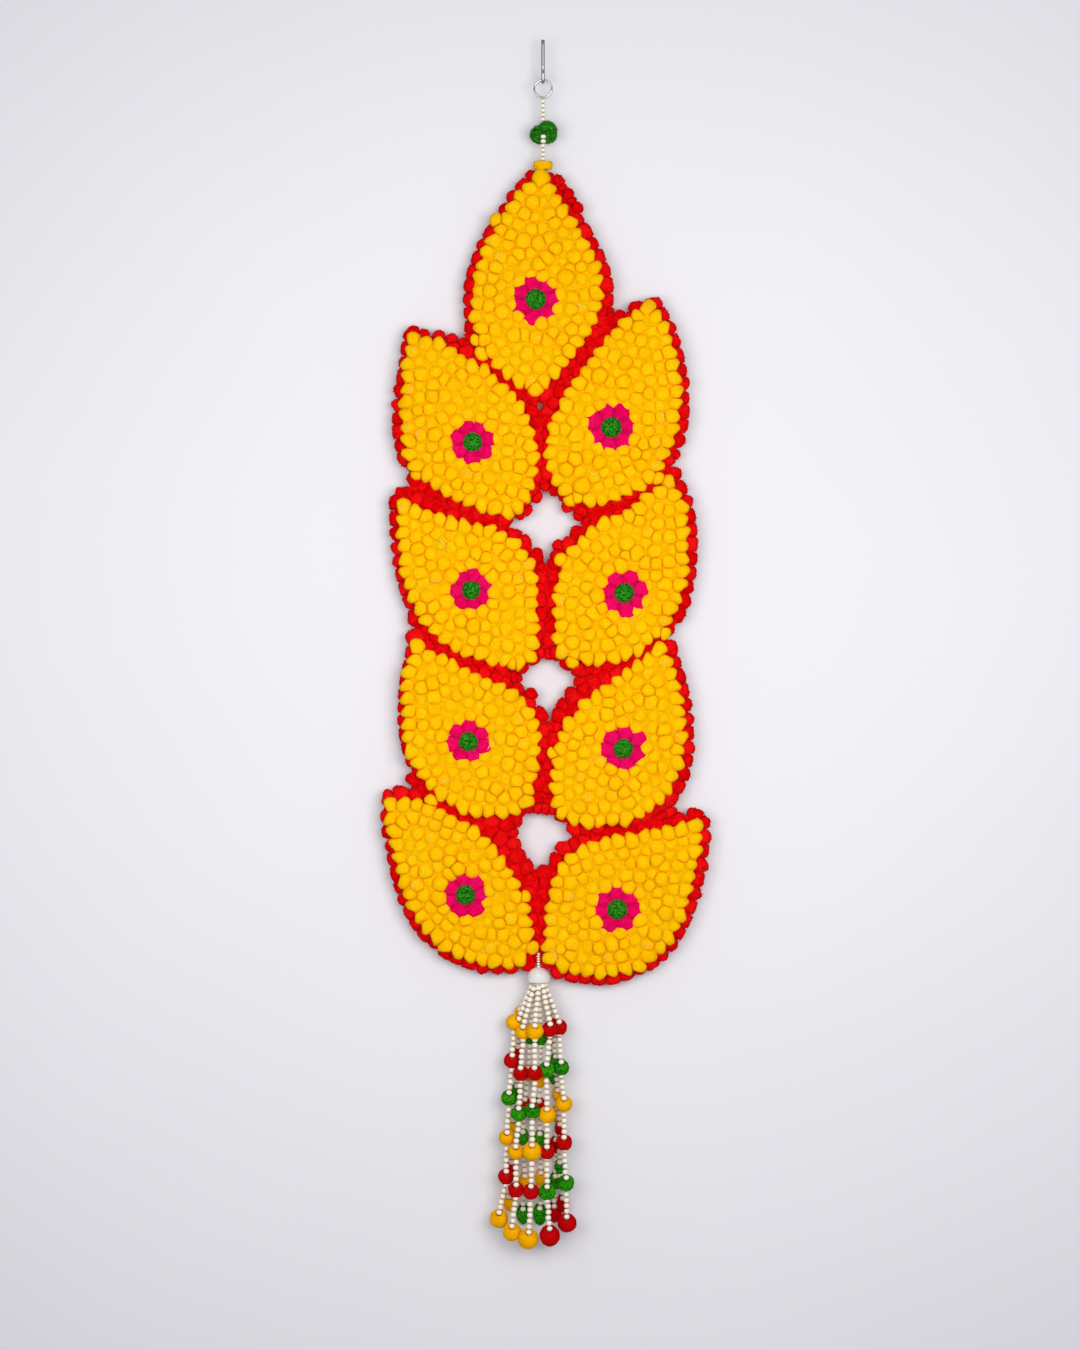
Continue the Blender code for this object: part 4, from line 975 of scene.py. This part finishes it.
def add_tassel(pearl, clear, thread, core_yarn_painted_shade, piles):
    """The tassel's ten strings of pearls and pompoms, gathered under its cap."""
    pearls = []
    taken = np.zeros((0, 3))
    threads = []
    seeds = []
    by_colour = {"Y": [], "R": [], "G": []}
    hung = hung_strings()
    order = sorted(range(len(STRINGS)), key=lambda k: hung[k][:, 1].mean())
    for number in order:
        s, stations = STRINGS[number], hung[number]
        root_x, root_y = stations[0][:2]
        stations[0] = (AXIS_X + (root_x - AXIS_X) * ROOT_DRAW, root_y * ROOT_DRAW, HEAD_BOTTOM)
        stations[1:, [0, 2]] = PLACES[s.name]
        line = [stations[0]]
        for k in range(1, len(stations)):
            last = k == len(stations) - 1
            size = s.radius * (END_SWELL if last else 1.0) * FULLNESS.get(s.name, (1.0,) * 6)[k - 1]
            middle = stations[k]
            side = FIRST_ENTRY.get(s.name, 0.0) if k == 1 else 0.0
            entry = middle + (side, ENTRY[0] * size, ENTRY[1] * size - 0.4 * side)
            foot = middle + (0.0, 0.0, FOOT * size)
            way = entry - line[-1]
            far = np.linalg.norm(way)
            for up in np.arange(0.0, far + 2.5, PEARL_PITCH):
                spot = entry - way * up / far + rng.normal(0.0, 0.22, 3) * (1.0, 1.0, 0.3)
                if len(taken) and np.linalg.norm(taken - spot, axis=1).min() < PEARL_CLOSEST:
                    continue
                taken = np.vstack((taken, spot))
                pearls.append(bead(spot, way, PEARL_RADIUS, PEARL_PITCH / 2 + 0.1))
            # The pompom closes round its string, so the last pearl sits in a cup at its upper front
            ball = lone(middle, size * 1.08, 1.0, rng.uniform(0.35, 0.65))
            ball = ball._replace(cup=np.append(entry - middle, PEARL_RADIUS + 0.9))
            if s.name in HINDMOST:
                ball = ball._replace(squeeze=np.array(UPRIGHT))
            parts = by_colour[s.colours[k - 1]]
            parts.append(pile_surface(ball, 4, 0.22))
            parts.append(yarn_ends(ball, *YARN_ENDS["tassel"],
                                   keep=lambda ways: ways @ (entry - middle) < 0.6 * size))
            line += [entry, foot]
            if last and s.name in SEEDED:
                tip = foot + (0.0, 0.0, SEED_UNDER * size)
                seeds.append(bead(tip, (0.0, 0.0, 1.0), 1.1, 1.2))
        threads.append(tube(line, MIDDLE_CORE_RADIUS if s.name == "g" else CORE_RADIUS, 6))
    add_piece("tassel_pearls", pearls, pearl, ["tassel"])
    add_piece("tassel_seed_beads", seeds, clear, ["tassel"])
    add_piece("tassel_threads", threads, core_yarn_painted_shade, ["tassel"])
    for letter, (word, pile) in piles.items():
        add_piece(f"tassel_{word}_pompoms", by_colour[letter], pile, ["tassel"])
    knot = tube([(AXIS_X, 0.0, z) for z, radius in KNOT], [radius for z, radius in KNOT], 24)
    add_piece("tassel_knot", [knot], thread, ["tassel"])


def add_hanger(pearl, green, yellow):
    """The hanger's pearls, its pair of green pompoms, and the flat-topped yellow one on the top leaf."""
    pearl_run("hanger_pearls_upper", *HANGER_PEARLS, pearl, "hanger_beads_upper")
    pearl_run("hanger_pearls_lower", *HANGER_PEARLS, pearl, "hanger_beads_lower", FRONT_PEARLS)
    greens = np.array(HANGER_GREENS)
    parts = []
    for ball in pressed(greens[:, :3], greens[:, 3], 0.95, greens[:, 4]):
        parts.append(pile_surface(ball, 4, 0.6))
        parts.append(yarn_ends(ball, *YARN_ENDS["hanger"]))
    add_piece("hanger_green_pompoms", parts, green, ["hanger_pompoms"])
    low, high = (np.array(corner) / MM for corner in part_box("collar_pompom"))
    middle = np.array(((low[0] + high[0]) / 2, (low[1] + high[1]) / 2, high[2] - COLLAR_UP))
    ball = lone(middle, COLLAR_RADIUS, 0.9, 0.3,
                [(0.0, 0.0, 1.0, COLLAR_UP), (0.0, 0.0, -1.0, high[2] - low[2] - 1.6)])
    parts = [pile_surface(ball, 4, 0.35), yarn_ends(ball, *YARN_ENDS["collar"])]
    add_piece("collar_yellow_pompom", parts, yellow, ["collar_pompom"])


def add_cap(white, pearl):
    """The tassel's white half-ball cap and the small beads above it."""
    pearl_run("tassel_stem_pearls", *STEM_PEARLS, pearl, "tassel_stem")
    low, high = (np.array(corner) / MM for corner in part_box("tassel_cap"))
    middle = np.array(((low[0] + high[0]) / 2, 0.0, low[2] + CAP_FLAT[0]))
    ball = lone(middle, CAP_RADIUS, 1.0, 0.5, [(0.0, 0.0, -1.0, CAP_FLAT[1])])
    parts = [pile_surface(ball, 5), yarn_ends(ball, *YARN_ENDS["cap"])]
    add_piece("tassel_cap_pompom", parts, white, ["tassel_cap"])


# Studio

FRAME_HEIGHT = 1350.0           # of the photo, at 1 mm a pixel
VIEW_CENTRE = (-3.0, -635.0)
LENS = 100.0
SENSOR = 36.0

# In metres: the wall, the floor, and each soft box's place and power
WALL_BEHIND = 0.018
STUDIO_HALF = 2.2
WALL_TOP = 1.2
FLOOR = -1.75
FLOOR_REACH = 4.5
SOFT_BOXES = {"soft_box_left": ((-0.75, -1.8, -0.5), 5.0), "soft_box_right": ((0.6, -1.9, -0.42), 8.4)}
SOFT_BOX_SIZE = (1.3, 1.0)
SOFT_BOX_SPREAD = 106.0         # degrees
LIT_PLACE = (0.0, 0.0, -0.54)
SKY_STRENGTH = 0.41


def add_camera():
    """The camera, straight before the hanging, with the photo's frame in view."""
    data = bpy.data.cameras.new("camera")
    data.lens = LENS
    data.sensor_width = SENSOR
    far = FRAME_HEIGHT * LENS / SENSOR
    camera = bpy.data.objects.new("camera", data)
    camera.location = Vector((VIEW_CENTRE[0], -far, VIEW_CENTRE[1])) * MM
    camera.rotation_euler = (math.pi / 2, 0.0, 0.0)
    bpy.context.scene.collection.objects.link(camera)
    bpy.context.scene.camera = camera


def add_light(name, place, power):
    """A soft box that faces the middle of the hanging."""
    data = bpy.data.lights.new(name, "AREA")
    data.shape = "RECTANGLE"
    data.size, data.size_y = SOFT_BOX_SIZE
    data.energy = power
    data.color = linear("fffdfa")[:3]
    data.spread = math.radians(SOFT_BOX_SPREAD)
    light = bpy.data.objects.new(name, data)
    light.location = place
    aim = Vector(LIT_PLACE) - Vector(place)
    light.rotation_mode = "QUATERNION"
    light.rotation_quaternion = aim.to_track_quat("-Z", "Y")
    bpy.context.scene.collection.objects.link(light)


def add_plane(name, corners, material):
    """A flat panel of the studio."""
    mesh = bpy.data.meshes.new(name)
    mesh.from_pydata(corners, [], [range(len(corners))])
    mesh.materials.append(material)
    panel = bpy.data.objects.new(name, mesh)
    bpy.context.scene.collection.objects.link(panel)
    return panel


def add_studio():
    """A pale wall close behind the hanging, a pale floor, two soft boxes and an even sky."""
    wall_paint = matt_paint("wall paint", "e9e9ee")
    tree = wall_paint.node_tree
    out = next(n for n in tree.nodes if n.type == "OUTPUT_MATERIAL")
    back = node(tree, "ShaderNodeNewGeometry").outputs["Backfacing"]
    gone = node(tree, "ShaderNodeBsdfTransparent").outputs[0]
    shown = tree.nodes["Principled BSDF"].outputs[0]
    # The wall is left out from behind, so that the back of the hanging can be looked at
    mixed = node(tree, "ShaderNodeMixShader", {0: back, 1: shown, 2: gone}).outputs[0]
    tree.links.new(mixed, out.inputs["Surface"])
    x, y, deep = STUDIO_HALF, WALL_BEHIND, FLOOR_REACH
    wall = add_plane("studio_wall", [(-x, y, FLOOR), (x, y, FLOOR), (x, y, WALL_TOP), (-x, y, WALL_TOP)],
                     wall_paint)
    wall.visible_diffuse = wall.visible_glossy = wall.visible_transmission = wall.visible_shadow = False
    add_plane("studio_floor", [(-x, -deep, FLOOR), (x, -deep, FLOOR), (x, deep, FLOOR), (-x, deep, FLOOR)],
              matt_paint("floor paint", "eeedf0"))
    for name, (place, power) in SOFT_BOXES.items():
        add_light(name, place, power)
    world = bpy.data.worlds.new("even sky")
    world.use_nodes = True
    sky = world.node_tree.nodes["Background"]
    sky.inputs["Color"].default_value = linear("eef0f8")
    sky.inputs["Strength"].default_value = SKY_STRENGTH
    bpy.context.scene.world = world
    bpy.context.scene.view_settings.view_transform = "Standard"


def main():
    yellow = cut_pile("marigold yellow cut pile", "efa200", "fabb00", "ffc808")
    gold = cut_pile("golden cut pile", "dc9000", "f6ac00", "ffbc08")
    red = cut_pile("scarlet cut pile", "bc0002", "d60004", "ee1214")
    crimson = cut_pile("crimson cut pile", "900002", "b80204", "cc0c0e")
    pink = cut_pile("magenta cut pile", "d4004c", "da0050", "ee0e64")
    green = cut_pile("leaf green cut pile", "012804", "034a08", "3ca226", clump=1.9, contrast=1.0)
    bright_green = cut_pile("bright green cut pile", "013002", "056406", "3eac12", clump=1.9, contrast=0.9)
    white = cut_pile("white cut pile", "b4b2ac", "dcdad6", "f0efec", clump=1.6)
    pearl = pearl_lacquer()
    thread = spun_thread("cream sewing thread", "cdbb98", "f1e8d4")
    add_hook_and_ring(steel("drawn steel wire", "9a9ba0", "c8c9ce", 0.34, 0.5, 0.8),
                      steel("nickel-plated steel ring", "b9b6b0", "e4e2de", 0.06, 0.16, 1.2))
    add_hanger(pearl, green, yellow)
    add_fields(yellow, spun_thread("pale yellow yarn", "f2c84e", "ffe890"))
    add_borders(red)
    add_bases(felt("red needle felt", "8e0508", "c8181a"),
              spun_thread("scarlet sewing thread", "b8181c", "f0484c"))
    add_flowers(pink, green)
    add_cap(white, pearl)
    # A dark amber core yarn that stands in for the shade seen between the tassel's strings: real thread, its
    # colour painted shade
    core_yarn_painted_shade = spun_thread("core yarn darkened as painted shade", "8a5a1c", "c08a34")
    add_tassel(pearl, clear_bead(), thread, core_yarn_painted_shade,
               {"Y": ("yellow", gold), "R": ("red", crimson), "G": ("green", bright_green)})
    add_camera()
    add_studio()


main()
